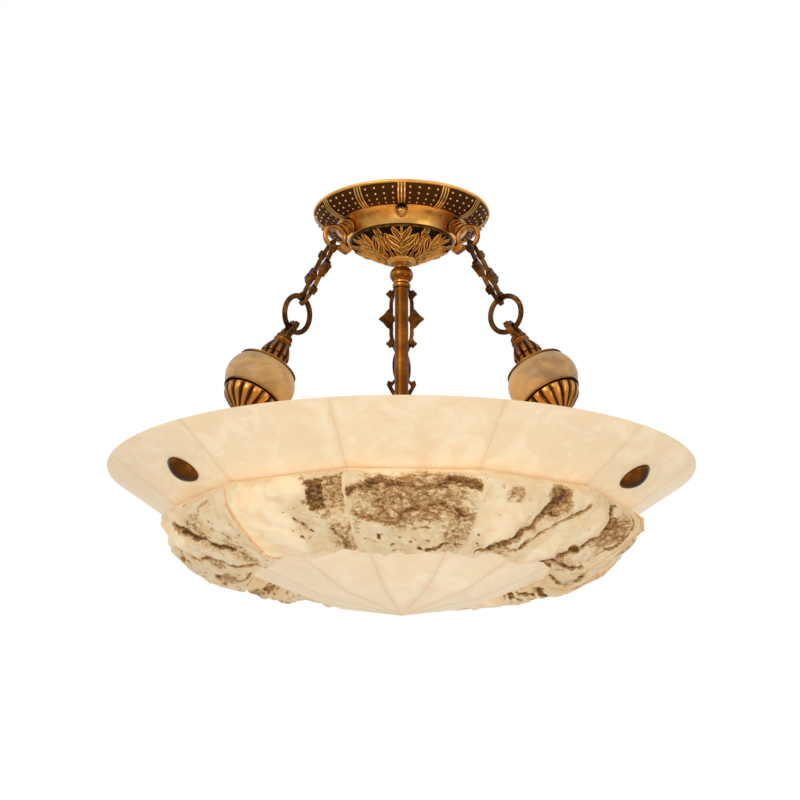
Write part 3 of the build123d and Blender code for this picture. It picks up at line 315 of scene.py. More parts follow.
def alabasterGroup():
    graph, given, result = newGroup(
        "cloudyStone",
        [("Place", "vector", None), ("Pale", "colour", alabaster["pale"]),
         ("Body", "colour", alabaster["body"]), ("Tan", "colour", alabaster["tan"]),
         ("Seams", "value", 1.0), ("Cloud", "value", 1.0)],
        [("Colour", "colour"), ("Roughness", "value"), ("Height", "value")])
    place = given["Place"]
    stretched = graph.add("Mapping", {"Vector": place, "Scale": (1.0, 1.0, 1.7)}).outputs[0]
    big = graph.noise(stretched, 11.0, 3.0, 0.5, 0.6)
    mid = graph.noise(stretched, 42.0, 6.0, 0.62, 0.9)
    drift = graph.noise(stretched, 150.0, 5.0, 0.6, 0.4)
    wisp = graph.remap(graph.math("ABSOLUTE", graph.math("SUBTRACT", mid, 0.5)), 0.0, 0.045, 1.0, 0.0)
    where = graph.remap(big, 0.5, 0.68)
    pale = graph.remap(graph.plus(mid, graph.product(big, 0.4)), 0.56, 0.86)
    base = graph.mix(pale, given["Body"], given["Pale"])
    veined = graph.mix(graph.product(wisp, where, given["Cloud"], 0.34), base, given["Tan"])
    mottle = graph.product(graph.remap(drift, 0.56, 0.72, 0.0, 0.22), where, given["Cloud"])
    mottled = graph.mix(mottle, veined, given["Tan"])
    # seams between the panels
    radius, angle, _ = graph.around(place)
    step = math.radians(360 / alabaster["panels"])
    turned = graph.plus(angle, 2 * alabaster["panels"] * step - math.radians(alabaster["panelTurn"]))
    across = graph.product(graph.fromMiddle(turned, step), radius)
    width = alabaster["seamWidth"] * mm
    line = graph.product(graph.remap(across, width * 0.4, width * 1.8, 1.0, 0.0), given["Seams"])
    haze = graph.product(graph.remap(across, width, alabaster["hazeWidth"] * mm, 0.2, 0.0), given["Seams"])
    seamed = graph.mix(graph.math("MAXIMUM", graph.product(line, 0.6), haze), mottled, given["Tan"])
    graph.feed(seamed, result["Colour"])
    graph.feed(graph.remap(mid, 0.3, 0.7, -0.04, 0.06), result["Roughness"])
    graph.feed(graph.math("SUBTRACT", graph.product(drift, 0.1), line), result["Height"])
    return graph.tree


cloudyStone = alabasterGroup()


def stoneMaterial(name, paintedGlow, seams=1.0, cloud=1.0, pale=None, body=None, tan=None, far=None):
    # painted light and shade: far is the tone painted on the side away from the lamps, and the near side
    # keeps the paler tones
    material, graph, shader, place = newMaterial(name, {"Emission Strength": paintedGlow})
    if far:
        share = graph.ramp(graph.around(place)[0], alabaster["paintedLampSide"])
        body, pale = graph.mix(share, body, far), graph.mix(share, pale, body)
    colours = useGroup(graph, cloudyStone, {"Place": place, "Seams": seams, "Cloud": cloud, "Pale": pale,
                                            "Body": body, "Tan": tan})
    graph.feed(colours["Colour"], shader.inputs["Base Color"])
    # painted light: the stone's colour is emitted too, standing in for the lamps inside the bowl shining
    # through it
    graph.feed(colours["Colour"], shader.inputs["Emission Color"])
    graph.feed(graph.plus(colours["Roughness"], alabaster["roughness"]), shader.inputs["Roughness"])
    graph.bump(shader, alabaster["bump"], alabaster["grainDepth"], colours["Height"])
    return material


bowlStone = stoneMaterial("alabasterPolished", alabaster["paintedGlow"], cloud=0.75)
dishStone = stoneMaterial("alabasterDish", alabaster["paintedGlow"], cloud=0.4, body=tone(247, 220, 181),
                          pale=tone(250, 230, 196))
ballStone = stoneMaterial("alabasterHoney", 0.03, seams=0.0, cloud=0.3, pale=tone(232, 186, 120),
                          body=tone(216, 168, 102), tan=tone(172, 126, 70), far=tone(166, 124, 76))


# split face; its emission strength is painted light of the lamps shining through the stone, and the reach is
# how far painted shade darkens its hollows
splitFace = dict(pale=tone(251, 229, 191), ground=tone(244, 212, 165), tan=tone(220, 182, 128),
                       brown=tone(166, 118, 62), deep=tone(86, 52, 20), fleck=tone(150, 110, 64), paintedGlow=0.2,
                       paintedShadeReach=5.0 * mm, bump=0.9, grainDepth=1.8 * mm)


def rockMaterial():
    # pale granular stone, brown where the piece's own stain attribute says, darkened in its hollows by
    # painted shade, and emitting painted light of the lamps shining through it
    material, graph, shader, place = newMaterial("alabasterRock", {"Emission Strength": splitFace["paintedGlow"]})
    stain = graph.add("Attribute", attribute_name="stain").outputs["Fac"]
    rough = graph.add("Attribute", attribute_name="grain").outputs["Fac"]
    # painted shade: occlusion in the hollows is added to the brown level
    hollow = graph.product(graph.remap(graph.occlusion(splitFace["paintedShadeReach"]), 0.85, 0.35), 0.5)
    grain = graph.noise(place, 240.0, 8.0, 0.78, 0.8)
    flattened = graph.add("Mapping", {"Vector": place, "Scale": (1.0, 1.0, 2.4)}).outputs[0]
    streaks = graph.noise(flattened, 85.0, 8.0, 0.76, 1.8)
    cloud = graph.noise(place, 60.0, 5.0, 0.6, 0.8)
    specks = graph.noise(place, 800.0, 4.0, 0.65)
    broken = graph.product(graph.math("SUBTRACT", grain, 0.5), graph.plus(graph.product(rough, 1.7), 0.12))
    drawn = graph.product(graph.math("SUBTRACT", streaks, 0.5), graph.remap(stain, 0.1, 0.5, 0.0, 2.6))
    level = graph.plus(stain, broken, drawn, hollow)
    ground = graph.mix(graph.remap(cloud, 0.35, 0.65), splitFace["ground"], splitFace["pale"])
    tan = graph.mix(graph.remap(level, 0.18, 0.54), ground, splitFace["tan"])
    brown = graph.mix(graph.remap(level, 0.44, 0.8), tan, splitFace["brown"])
    deep = graph.mix(graph.remap(level, 0.78, 1.12), brown, splitFace["deep"])
    flecks = graph.product(graph.remap(specks, 0.56, 0.68), rough, 0.3)
    colour = graph.mix(flecks, deep, splitFace["fleck"])
    graph.feed(colour, shader.inputs["Base Color"])
    graph.feed(colour, shader.inputs["Emission Color"])
    graph.feed(graph.remap(rough, 0.0, 1.0, 0.45, 0.85), shader.inputs["Roughness"])
    height = graph.product(graph.plus(grain, graph.product(specks, 0.5)), graph.plus(rough, 0.16))
    graph.bump(shader, splitFace["bump"], splitFace["grainDepth"], height)
    return material


rockStone = rockMaterial()


plainGrain = dict(scale=160.0, bump=0.1, depth=0.3 * mm)


def plainMaterial(name, colour, accent, roughness, metallic=0.0):
    # small plain parts: one colour with a faint second tone and fine grain
    material, graph, shader, place = newMaterial(name, {"Metallic": metallic, "Roughness": roughness})
    fine = graph.noise(place, plainGrain["scale"])
    graph.feed(graph.mix(graph.remap(fine, 0.35, 0.7), colour, accent), shader.inputs["Base Color"])
    graph.bump(shader, plainGrain["bump"], plainGrain["depth"], fine)
    return material


zincSteel = plainMaterial("zincSteel", tone(168, 166, 160), tone(132, 130, 126), 0.38, metallic=1.0)
holderPlastic = plainMaterial("holderPlastic", tone(232, 226, 210), tone(222, 214, 196), 0.5)
terminalPlastic = plainMaterial("terminalPlastic", tone(236, 236, 230), tone(226, 226, 220), 0.45)
sheath = plainMaterial("cableSheath", tone(226, 224, 216), tone(214, 212, 204), 0.6)
capMetal = plainMaterial("lampCapMetal", tone(190, 186, 172), tone(160, 156, 146), 0.3, metallic=1.0)

lampLight = dict(pale=tone(255, 236, 200), warm=tone(255, 226, 178), roughness=0.3, strength=1.2)


def lampGlassMaterial():
    material, graph, shader, place = newMaterial("lampGlassLit", {"Roughness": lampLight["roughness"],
                                                                  "Emission Strength": lampLight["strength"]})
    warm = graph.mix(graph.noise(place, 90.0, 2.0), lampLight["pale"], lampLight["warm"])
    graph.feed(warm, shader.inputs["Base Color"])
    graph.feed(warm, shader.inputs["Emission Color"])
    return material


lampGlass = lampGlassMaterial()

finishes = {"ceiling_plate": zincSteel, "canopy_pan": panBrass, "leaf_dome": castBrass,
            "canopy_thumb_screws": thumbBrass, "dome_screws": zincSteel, "hook_nuts": zincSteel,
            "stem_nipple": zincSteel, "stem_lock_nut": zincSteel, "stem_knuckle": turnedBrass,
            "stem_collar": turnedBrass, "stem_tube": tubeBrass, "stem_cable": sheath,
            "lamp_cluster_body": turnedBrass, "lamp_cluster_nut": zincSteel,
            "lamp_cluster_cover": turnedBrass, "lamp_caps": capMetal, "terminal_block": terminalPlastic,
            "bowl_upper_band": bowlStone, "bowl_rock_band": rockStone, "bowl_dish_band": dishStone,
            "bowl_centre": dishStone, "bowl_wall_washers": zincSteel, "bowl_wall_nuts": zincSteel}
# for the nodes whose names end with a side
sideFinishes = {"hook_": castBrass, "finial_eye_": darkBrass, "finial_cap_": castBrass,
                "finial_cup_": castBrass, "link_": darkBrass, "ring_": darkBrass,
                "finial_flanges_": darkBrass, "alabaster_ball_": ballStone, "hanger_rod_": zincSteel,
                "bowl_knob_": knobBrass, "lamp_socket_": holderPlastic, "lamp_glass_": lampGlass}
for name, node in nodes.items():
    stem = name[:name.rfind("_") + 1]
    node.data.materials.clear()
    node.data.materials.append(finishes[name] if name in finishes else sideFinishes[stem])
print("finishes set")

# camera and studio
view = dict(place=(0.0, -1.450, -0.593), pitchUp=16.1, lens=78.0, sensor=36.0, shiftX=-0.0019)


def makeCamera():
    data = bpy.data.cameras.new("camera")
    data.lens = view["lens"]
    data.sensor_width = view["sensor"]
    data.shift_x = view["shiftX"]
    camera = bpy.data.objects.new("camera", data)
    camera.location = view["place"]
    camera.rotation_euler = (math.radians(90 + view["pitchUp"]), 0, 0)
    bpy.context.scene.collection.objects.link(camera)
    bpy.context.scene.camera = camera


makeCamera()
studio = dict(world=0.5, aim=(0, 0, -0.2), floorZ=-1.15, floorSize=30.0, floorTone=0.9, floorLift=0.32)
# name: place, size, watts, colour
lamps = {"key": ((-0.9, -1.6, 0.35), 0.8, 8.0, (1.0, 0.97, 0.92)),
         "fill": ((1.3, -1.2, -0.5), 0.9, 3.0, (1.0, 0.98, 0.95)),
         "low": ((0.0, -0.8, -1.0), 0.5, 1.6, (1.0, 0.96, 0.9))}


def makeStudio():
    world = bpy.data.worlds.new("studio")
    bpy.context.scene.world = world
    world.use_nodes = True
    graph = Graph(world.node_tree)
    back = world.node_tree.nodes["Background"]
    back.inputs["Color"].default_value = (1.0, 1.0, 1.0, 1.0)
    # white to the camera, to gloss and through glass, dimmer as light on the object
    path = graph.add("LightPath").outputs
    seen = graph.math("MAXIMUM", path["Is Camera Ray"],
                      graph.math("MAXIMUM", path["Is Glossy Ray"], path["Is Transmission Ray"]))
    graph.feed(graph.remap(seen, 0.0, 1.0, studio["world"], 1.0, smooth=False), back.inputs["Strength"])
    for name, (place, size, watts, colour) in lamps.items():
        data = bpy.data.lights.new(name, "AREA")
        data.size, data.energy, data.color = size, watts, colour
        lamp = bpy.data.objects.new(name, data)
        lamp.location = place
        lamp.rotation_euler = (Vector(studio["aim"]) - Vector(place)).to_track_quat("-Z", "Y").to_euler()
        bpy.context.scene.collection.objects.link(lamp)
    bm = bmesh.new()
    bmesh.ops.create_grid(bm, x_segments=1, y_segments=1, size=studio["floorSize"],
                          matrix=Matrix.Translation((0, 0, studio["floorZ"])))
    mesh = bpy.data.meshes.new("floor")
    bm.to_mesh(mesh)
    bm.free()
    floor = bpy.data.objects.new("floor", mesh)
    bpy.context.scene.collection.objects.link(floor)
    material, graph, shader, place = newMaterial("paleFloor", {"Roughness": 0.9})
    shader.inputs["Base Color"].default_value = (*[studio["floorTone"]] * 3, 1.0)
    shader.inputs["Emission Color"].default_value = (1.0, 1.0, 1.0, 1.0)
    seenDirectly = graph.add("LightPath").outputs["Is Camera Ray"]
    graph.feed(graph.product(seenDirectly, studio["floorLift"]), shader.inputs["Emission Strength"])
    mesh.materials.append(material)
    bpy.context.scene.view_settings.view_transform = "Standard"


makeStudio()
print("camera and studio ready")

# split-stone band of the bowl: profile at a panel's middle, as the solids have it
rock = dict(footRadius=186.4, footZ=-282.71, drop=42.5, dishRadius=124.6, bulge=10.5, lip=11.0, cuts=7,
            softTurns=5, innerReach=180.0, meanShare=0.9, seamSlack=0.0005, crag=1.1, fine=0.5, warp=2.6,
            fineWarp=1.0, edgeFade=2.0)
rockNoise = dict(warp=70, fineWarp=260, crags=110, ridges=150, fine=700)  # turns of noise in a metre


def rockEdge(index):
    wave = math.sin(2.1 * index + 0.6)
    other = math.cos(1.3 * index)
    bulge = rock["footRadius"] + rock["bulge"] * (1 + 0.18 * wave)
    lip = rock["lip"] * (1 + 0.16 * other)
    top, low, dish = rock["footZ"], rock["footZ"] - rock["drop"], rock["dishRadius"]
    return [(rock["footRadius"] + 3.5, top), (bulge, top - 5.5), (bulge + 1, top - 16),
            (rock["footRadius"] - 4 + 2 * wave, low + 10.5 - 3 * other), (dish + 27, low - lip + 2.5),
            (dish + 8, low - lip), (dish, low)]


def nearest(line, place):
    # distance from a place to a line of points, and the share of the line's length there
    best, share, run = 1e9, 0.0, 0.0
    for a, b in zip(line, line[1:]):
        way = (b[0] - a[0], b[1] - a[1])
        length = math.hypot(*way)
        part = ((place[0] - a[0]) * way[0] + (place[1] - a[1]) * way[1]) / length ** 2
        part = max(0.0, min(1.0, part))
        gap = math.hypot(place[0] - a[0] - part * way[0], place[1] - a[1] - part * way[1])
        if gap < best:
            best, share = gap, run + part * length
        run += length
    return best, share / run


# marks of a split face, with places across from -1 to 1 and down from 0 to 1, and depths in mm
# crevice: depth, half width in mm, stain, line of places
# pit: depth, radius in mm, place
# cavity: depth, half sizes on the scale of the places, place, stain
# stain and smooth: strength, reach on the scale of the places, place
looks = [
    dict(grain=1.0,
         crevices=[(1.4, 4.6, 0.95, [(-0.95, 0.22), (-0.4, 0.12), (0.1, 0.2), (0.55, 0.12), (0.97, 0.16)]),
                   (1.1, 3.8, 0.8, [(-0.9, 0.36), (-0.5, 0.45), (-0.1, 0.36), (0.4, 0.3), (0.95, 0.42)]),
                   (1.4, 2.6, 0.95, [(0.3, 0.74), (0.6, 0.68), (0.92, 0.7)])],
         pits=[(2.6, 2.2, (-0.34, 0.72)), (2.8, 2.6, (0.16, 0.74)), (2.0, 1.8, (-0.58, 0.6)),
               (1.6, 1.3, (-0.2, 0.6)), (1.7, 1.4, (-0.02, 0.65)), (1.4, 1.1, (-0.1, 0.8)),
               (1.5, 1.2, (0.3, 0.62))],
         cavities=[],
         stains=[(0.66, (1.1, 0.32), (0.0, 0.26)), (0.56, (0.4, 0.36), (0.8, 0.54))],
         smooth=[(0.8, (1.0, 0.04), (0.0, 0.02))]),
    dict(grain=0.8,
         crevices=[(2.2, 4.6, 0.95, [(0.42, 0.12), (0.12, 0.42), (-0.2, 0.68), (-0.5, 0.8)]),
                   (1.6, 2.0, 0.75, [(0.9, 0.2), (0.55, 0.4), (0.15, 0.7)])],
         pits=[(1.3, 1.2, (-0.75, 0.66)), (1.2, 1.1, (-0.62, 0.72)), (1.0, 0.9, (-0.8, 0.6)),
               (1.2, 1.0, (-0.6, 0.36))],
         cavities=[(1.2, (0.12, 0.06), (-0.42, 0.2), 0.55)],
         stains=[(0.75, (0.24, 0.2), (0.4, 0.2)), (0.5, (0.22, 0.1), (-0.45, 0.2)),
                 (0.55, (0.4, 0.16), (-0.15, 0.74)), (0.3, (0.2, 0.12), (-0.7, 0.66))],
         smooth=[(1.0, (0.4, 0.24), (-0.6, 0.42)), (0.9, (0.22, 0.2), (0.75, 0.7))]),
    dict(grain=0.9,
         crevices=[(2.0, 4.4, 0.95, [(-0.2, 0.1), (0.05, 0.3), (-0.1, 0.5), (-0.5, 0.74)]),
                   (1.4, 2.2, 0.8, [(0.6, 0.12), (0.8, 0.4), (0.5, 0.7)]),
                   (2.2, 3.6, 0.95, [(-0.7, 0.84), (0.1, 0.76), (0.8, 0.72)])],
         pits=[(1.5, 1.2, (-0.55, 0.36)), (1.6, 1.4, (0.4, 0.5))],
         cavities=[(1.6, (0.3, 0.08), (-0.2, 0.92), 0.85)],
         stains=[(0.7, (0.5, 0.26), (0.3, 0.32)), (0.5, (0.8, 0.2), (0.0, 0.8))],
         smooth=[(1.0, (0.34, 0.24), (-0.68, 0.4))]),
    dict(grain=1.0,
         crevices=[(1.8, 3.4, 0.8, [(-0.9, 0.3), (-0.2, 0.4), (0.6, 0.34), (0.95, 0.5)]),
                   (1.8, 3.2, 0.85, [(-0.8, 0.72), (0.0, 0.66), (0.85, 0.78)])],
         pits=[(2.0, 1.8, (0.4, 0.55)), (1.8, 1.5, (-0.45, 0.55)), (1.5, 1.3, (-0.2, 0.9)),
               (1.6, 1.4, (0.5, 0.92))],
         cavities=[(1.6, (0.2, 0.06), (0.1, 0.93), 0.8)],
         stains=[(0.55, (0.6, 0.16), (0.2, 0.76)), (0.45, (0.5, 0.12), (-0.4, 0.3))],
         smooth=[(1.0, (0.7, 0.14), (0.2, 0.14))]),
    dict(grain=0.95,
         crevices=[(2.2, 3.4, 1.0, [(-0.75, 0.22), (-0.3, 0.4), (0.2, 0.6), (0.62, 0.8)]),
                   (1.4, 2.4, 0.75, [(-0.95, 0.55), (-0.5, 0.6), (0.2, 0.85)]),
                   (1.6, 2.4, 0.9, [(-0.3, 0.9), (0.3, 0.93)])],
         pits=[(1.4, 1.2, (0.5, 0.4)), (1.3, 1.1, (0.62, 0.5)), (1.4, 1.2, (0.1, 0.8))],
         cavities=[(1.8, (0.14, 0.05), (-0.6, 0.9), 0.9), (1.6, (0.1, 0.05), (0.6, 0.94), 0.85)],
         stains=[(0.5, (0.5, 0.22), (-0.2, 0.34)), (0.6, (0.25, 0.14), (-0.7, 0.6)),
                 (0.5, (0.4, 0.24), (0.3, 0.62))],
         smooth=[(0.9, (0.2, 0.14), (-0.9, 0.3))]),
    dict(grain=1.0,
         crevices=[(1.3, 2.0, 0.8, [(0.6, 0.5), (0.72, 0.66), (0.6, 0.85)]),
                   (1.2, 1.8, 0.7, [(0.98, 0.5), (0.8, 0.6), (0.7, 0.9)])],
         pits=[(2.2, 1.6, (-0.02, 0.42)), (2.8, 2.1, (0.1, 0.47)), (2.6, 2.1, (-0.04, 0.56)),
               (2.2, 1.7, (0.2, 0.52)), (1.4, 1.0, (-0.18, 0.34)), (1.6, 1.3, (-0.16, 0.5)),
               (1.2, 1.0, (0.26, 0.4))],
         cavities=[(3.2, (0.13, 0.13), (0.48, 0.2), 1.0), (2.2, (0.16, 0.14), (0.78, 0.2), 0.62),
                   (1.4, (0.08, 0.05), (0.86, 0.88), 0.9)],
         stains=[(0.42, (0.34, 0.42), (0.74, 0.66)), (0.3, (0.2, 0.2), (0.06, 0.48))],
         smooth=[(1.0, (0.55, 0.5), (-0.55, 0.55)), (0.9, (0.34, 0.12), (0.0, 0.88)),
                 (0.8, (0.3, 0.12), (0.0, 0.12))]),
]
panelLooks = [0, 1, 2, 3, 4, 5, 1, 0, 3, 3, 4, 5]  # for each panel from the front round to the right


def splitMarks(index, across, down, wide, tall):
    # fine height in mm over the solid's facets, stain and grain at a place of a panel
    look = looks[panelLooks[index]]
    spot = Vector((across * wide, down * tall, index * 37.0)) * mm  # so far apart, no two panels share noise
    warp = noise.noise_vector(spot * rockNoise["warp"]) * rock["warp"]
    warp += noise.noise_vector(spot * rockNoise["fineWarp"]) * rock["fineWarp"]
    here = (across * wide + warp.x, down * tall + warp.y)

    def reached(place, reach, full, gone):
        away = math.hypot((here[0] / wide - place[0]) / reach[0], (here[1] / tall - place[1]) / reach[1])
        return blendStep(gone, full, away)

    flat = max([s * reached(place, reach, 0.8, 1.15) for s, reach, place in look["smooth"]])
    grain = look["grain"] * (1 - 0.88 * flat)
    ridges = noise.noise(spot * rockNoise["ridges"])
    crags = noise.fractal(spot * rockNoise["crags"], 0.8, 2.1, 5) + 1.2 * (abs(ridges) - 0.25)
    height = crags * rock["crag"] * (0.2 + 0.8 * grain)
    height += noise.noise(spot * rockNoise["fine"]) * rock["fine"] * grain
    stain = max([s * reached(place, reach, 0.45, 1.1) for s, reach, place in look["stains"]])
    for depth, half, strength, line in look["crevices"]:
        gap = nearest([(u * wide, v * tall) for u, v in line], here)[0] * (1 + 0.5 * ridges)
        height -= depth * blendStep(half, half * 0.25, gap)
        stain = max(stain, strength * blendStep(half * 1.7, half * 0.3, gap))
    for depth, radius, (u, v) in look["pits"]:
        gap = math.dist(here, (u * wide, v * tall))
        height -= depth * blendStep(radius, radius * 0.45, gap)
        stain = max(stain, blendStep(radius * 1.15, radius * 0.6, gap))
    for depth, (half, tallHalf), (u, v), strength in look["cavities"]:  # with square corners
        gap = max(abs(here[0] / wide - u) / half, abs(here[1] / tall - v) / tallHalf)
        height -= depth * blendStep(1.06, 0.86, gap)
        stain = max(stain, strength * blendStep(1.14, 0.96, gap))
    stain = max(stain, grain * 0.6 * blendStep(-0.1, -0.9, crags))
    return height, stain, grain


def splitPanel(index, whole):
    # one panel of the solid, its facets divided, rounded and roughened
    bm = bmesh.new()
    bm.from_mesh(whole)
    stains = bm.verts.layers.float.new("stain")
    grains = bm.verts.layers.float.new("grain")
    roughFace = bm.faces.layers.int.new("roughFace")
    azimuth = index * 360 / alabaster["panels"] + alabaster["panelTurn"]
    out, aside = towards(1, azimuth, 0), towards(1, azimuth + 90, 0)
    half = math.tan(math.radians(180 / alabaster["panels"]))

    def ofOthers(face):
        middle = face.calc_center_median()
        return abs(middle.dot(aside)) > middle.dot(out) * half * (1 + rock["seamSlack"])

    bmesh.ops.delete(bm, geom=[face for face in bm.faces if ofOthers(face)], context="FACES")
    bmesh.ops.remove_doubles(bm, verts=bm.verts, dist=0.002 * mm)

    def isInner(vert):
        reach = vert.co.dot(out) / mm
        atTop = vert.co.z / mm > rock["footZ"] - 0.1
        return reach < rock["dishRadius"] - 0.5 or (atTop and reach < rock["innerReach"])

    def onSeam(vert):
        return abs(vert.co.dot(aside)) > vert.co.dot(out) * half * (1 - rock["seamSlack"])

    rough = [face for face in bm.faces if not any(isInner(v) for v in face.verts)
             and not all(onSeam(v) for v in face.verts)]
    for face in rough:
        face[roughFace] = 1
    # in the mesh's own order, so that every run gives the same stone
    edges = [edge for edge in bm.edges if any(face[roughFace] for face in edge.link_faces)]
    bmesh.ops.subdivide_edges(bm, edges=edges, cuts=rock["cuts"], use_grid_fill=True)
    bmesh.ops.triangulate(bm, faces=[face for face in bm.faces if len(face.verts) > 4])
    free = [v for v in bm.verts if v.link_faces and all(face[roughFace] for face in v.link_faces)]
    soften(bm, free, rock["softTurns"])
    bm.normal_update()
    edge = rockEdge(index)
    tall = sum(math.dist(a, b) for a, b in zip(edge, edge[1:]))
    wide = rock["footRadius"] * rock["meanShare"] * half
    moves = []
    for vert in free:
        reach = vert.co.dot(out) / mm
        across = vert.co.dot(aside) / mm / (reach * half)
        down = nearest(edge, (reach, vert.co.z / mm))[1]
        height, stain, grain = splitMarks(index, across, down, wide, tall)
        toSeam, toEnd = (1 - abs(across)) * reach * half, min(down, 1 - down) * tall
        border = min(1.0, toSeam / rock["edgeFade"], toEnd / rock["edgeFade"])
        vert[stains], vert[grains] = stain * border, grain
        moves.append((vert, vert.normal * height * border * mm))
    for vert, move in moves:
        vert.co += move
    for face in bm.faces:
        face.smooth = face[roughFace] == 1
    return bm


def makeSplitStone():
    joined = bmesh.new()
    for name in ("stain", "grain"):
        joined.verts.layers.float.new(name)
    for index in range(alabaster["panels"]):
        panel = splitPanel(index, nodes["bowl_rock_band"].data)
        mesh = bpy.data.meshes.new("splitPanel")
        panel.to_mesh(mesh)
        panel.free()
        joined.from_mesh(mesh)
        bpy.data.meshes.remove(mesh)
    return newPiece("bowlSplitStone", joined, rockStone, "bowl", smooth=False)


splitStone = makeSplitStone()
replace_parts(splitStone, "bowl_rock_band")
print("split-stone band,", len(splitStone.data.polygons), "faces")

# bead panels of the canopy
beads = dict(start=(77.7, -3.2), end=(58.5, -15.5), bulge=3.0, columns=4, rows=(0.14, 0.37, 0.6, 0.82),
             sizes=(1.25, 1.2, 1.1, 0.95))


def bandPoint(share):
    # radius, height and outward normal on the pan's sloping band
    (r0, z0), (r1, z1) = beads["start"], beads["end"]
    length = math.dist((r0, z0), (r1, z1))
    out = (-(z1 - z0) / length, (r1 - r0) / length)
    rise = 4 * share * (1 - share) * beads["bulge"]
    slope = 4 * (1 - 2 * share) * beads["bulge"] / length
    tangent = Vector(((r1 - r0) / length + slope * out[0], (z1 - z0) / length + slope * out[1])).normalized()
    radius = r0 + (r1 - r0) * share + rise * out[0]
    z = z0 + (z1 - z0) * share + rise * out[1]
    return radius, z, (-tangent.y, tangent.x)


def makeBeads():
    bm = bmesh.new()
    pitch = 360 / beadPanels["groups"]
    for share, size in zip(beads["rows"], beads["sizes"]):
        radius, z, normal = bandPoint(share)
        free = math.radians(pitch) * radius - 2 * beadPanels["ribHalf"]
        for group in range(beadPanels["groups"]):
            for column in range(beads["columns"]):
                offset = ((column + 0.5) / beads["columns"] - 0.5) * free
                azimuth = (group + 0.5) * pitch + math.degrees(offset / radius)
                turn = towards(normal[0], azimuth, normal[1]).to_track_quat("Z", "Y").to_matrix().to_4x4()
                bmesh.ops.create_uvsphere(bm, u_segments=8, v_segments=6, radius=size * mm,
                                          matrix=Matrix.Translation(towards(radius, azimuth, z) * mm) @ turn)
    return newPiece("canopyBeads", bm, beadBrass, "root")


makeBeads()
print("bead panels ready")

# leaf carving on the dome: profile from the rim in to the foot, lifts are how bright its plain ends are
dome = dict(rim=[(46.0, -28.25), (45.9, -29.3)],
            carved=[(45.3, -30.3), (44.0, -31.0), (40.6, -32.2), (34.0, -34.9), (27.4, -38.7),
                    (24.0, -40.7), (17.0, -43.9), (13.2, -45.7)],
            foot=[(12.6, -46.9), (12.2, -47.5), (10.3, -47.7), (10.0, -48.65), (5.1, -48.69)],
            leaves=6, ribEnd=(36.4, 34.6), ribHeight=1.1, endFade=1.2, steps=420, rows=72, depth=1.7,
            wall=0.9, rimLift=0.3, footLift=0.85)
# lobe: foot and tip, sideways from the mid-rib and up the dome in mm, and half width
mainLobes = [((0.9, 2.0), (5.4, 8.8), 1.7), ((0.9, 6.8), (9.8, 16.4), 2.3),
             ((0.9, 13.2), (11.8, 25.0), 2.7), ((0.9, 20.6), (7.4, 33.4), 2.4)]
budLobes = [((0.0, 0.6), (0.0, 6.5), 1.3), ((0.0, 9.0), (0.0, 25.0), 2.0),
            ((2.2, 17.0), (5.6, 28.0), 1.6), ((0.3, 26.5), (2.0, 34.6), 1.5)]


# across a lobe, as shares of its half width: where each part begins and is full
lobeForm = dict(outline=(1.25, 0.88), hollow=(0.74, 0.5), hollowDepth=0.85, vein=(0.22, 0.08), veinHeight=0.5)


def lobeHeight(x, y, lobe):
    # raised outline with a hollow inside and a fine vein
    (x0, y0), (x1, y1), half = lobe
    gap, t = nearest([(x0, y0), (x1, y1)], (x, y))
    share = gap / (half * (0.45 + 0.75 * math.sin(math.pi * (0.12 + 0.78 * t))))
    hollow = blendStep(*lobeForm["hollow"], share) * lobeForm["hollowDepth"]
    vein = blendStep(*lobeForm["vein"], share) * lobeForm["veinHeight"]
    return blendStep(*lobeForm["outline"], share) - hollow + vein


def leafRelief(azimuth, run, radius):
    # leaves with a mid-rib, and buds between them
    half = 180 / dome["leaves"]
    height = 0.0
    for start, lobes in ((0.0, mainLobes), (half, budLobes)):
        x = abs(math.radians((azimuth - start + half) % (2 * half) - half) * radius)
        height = max([height] + [lobeHeight(x, run, lobe) for lobe in lobes])
        if lobes is mainLobes:
            rib = blendStep(1.0, 0.4, x) - 0.7 * blendStep(0.35, 0.1, x)
            height = max(height, rib * blendStep(*dome["ribEnd"], run) * dome["ribHeight"])
    return height


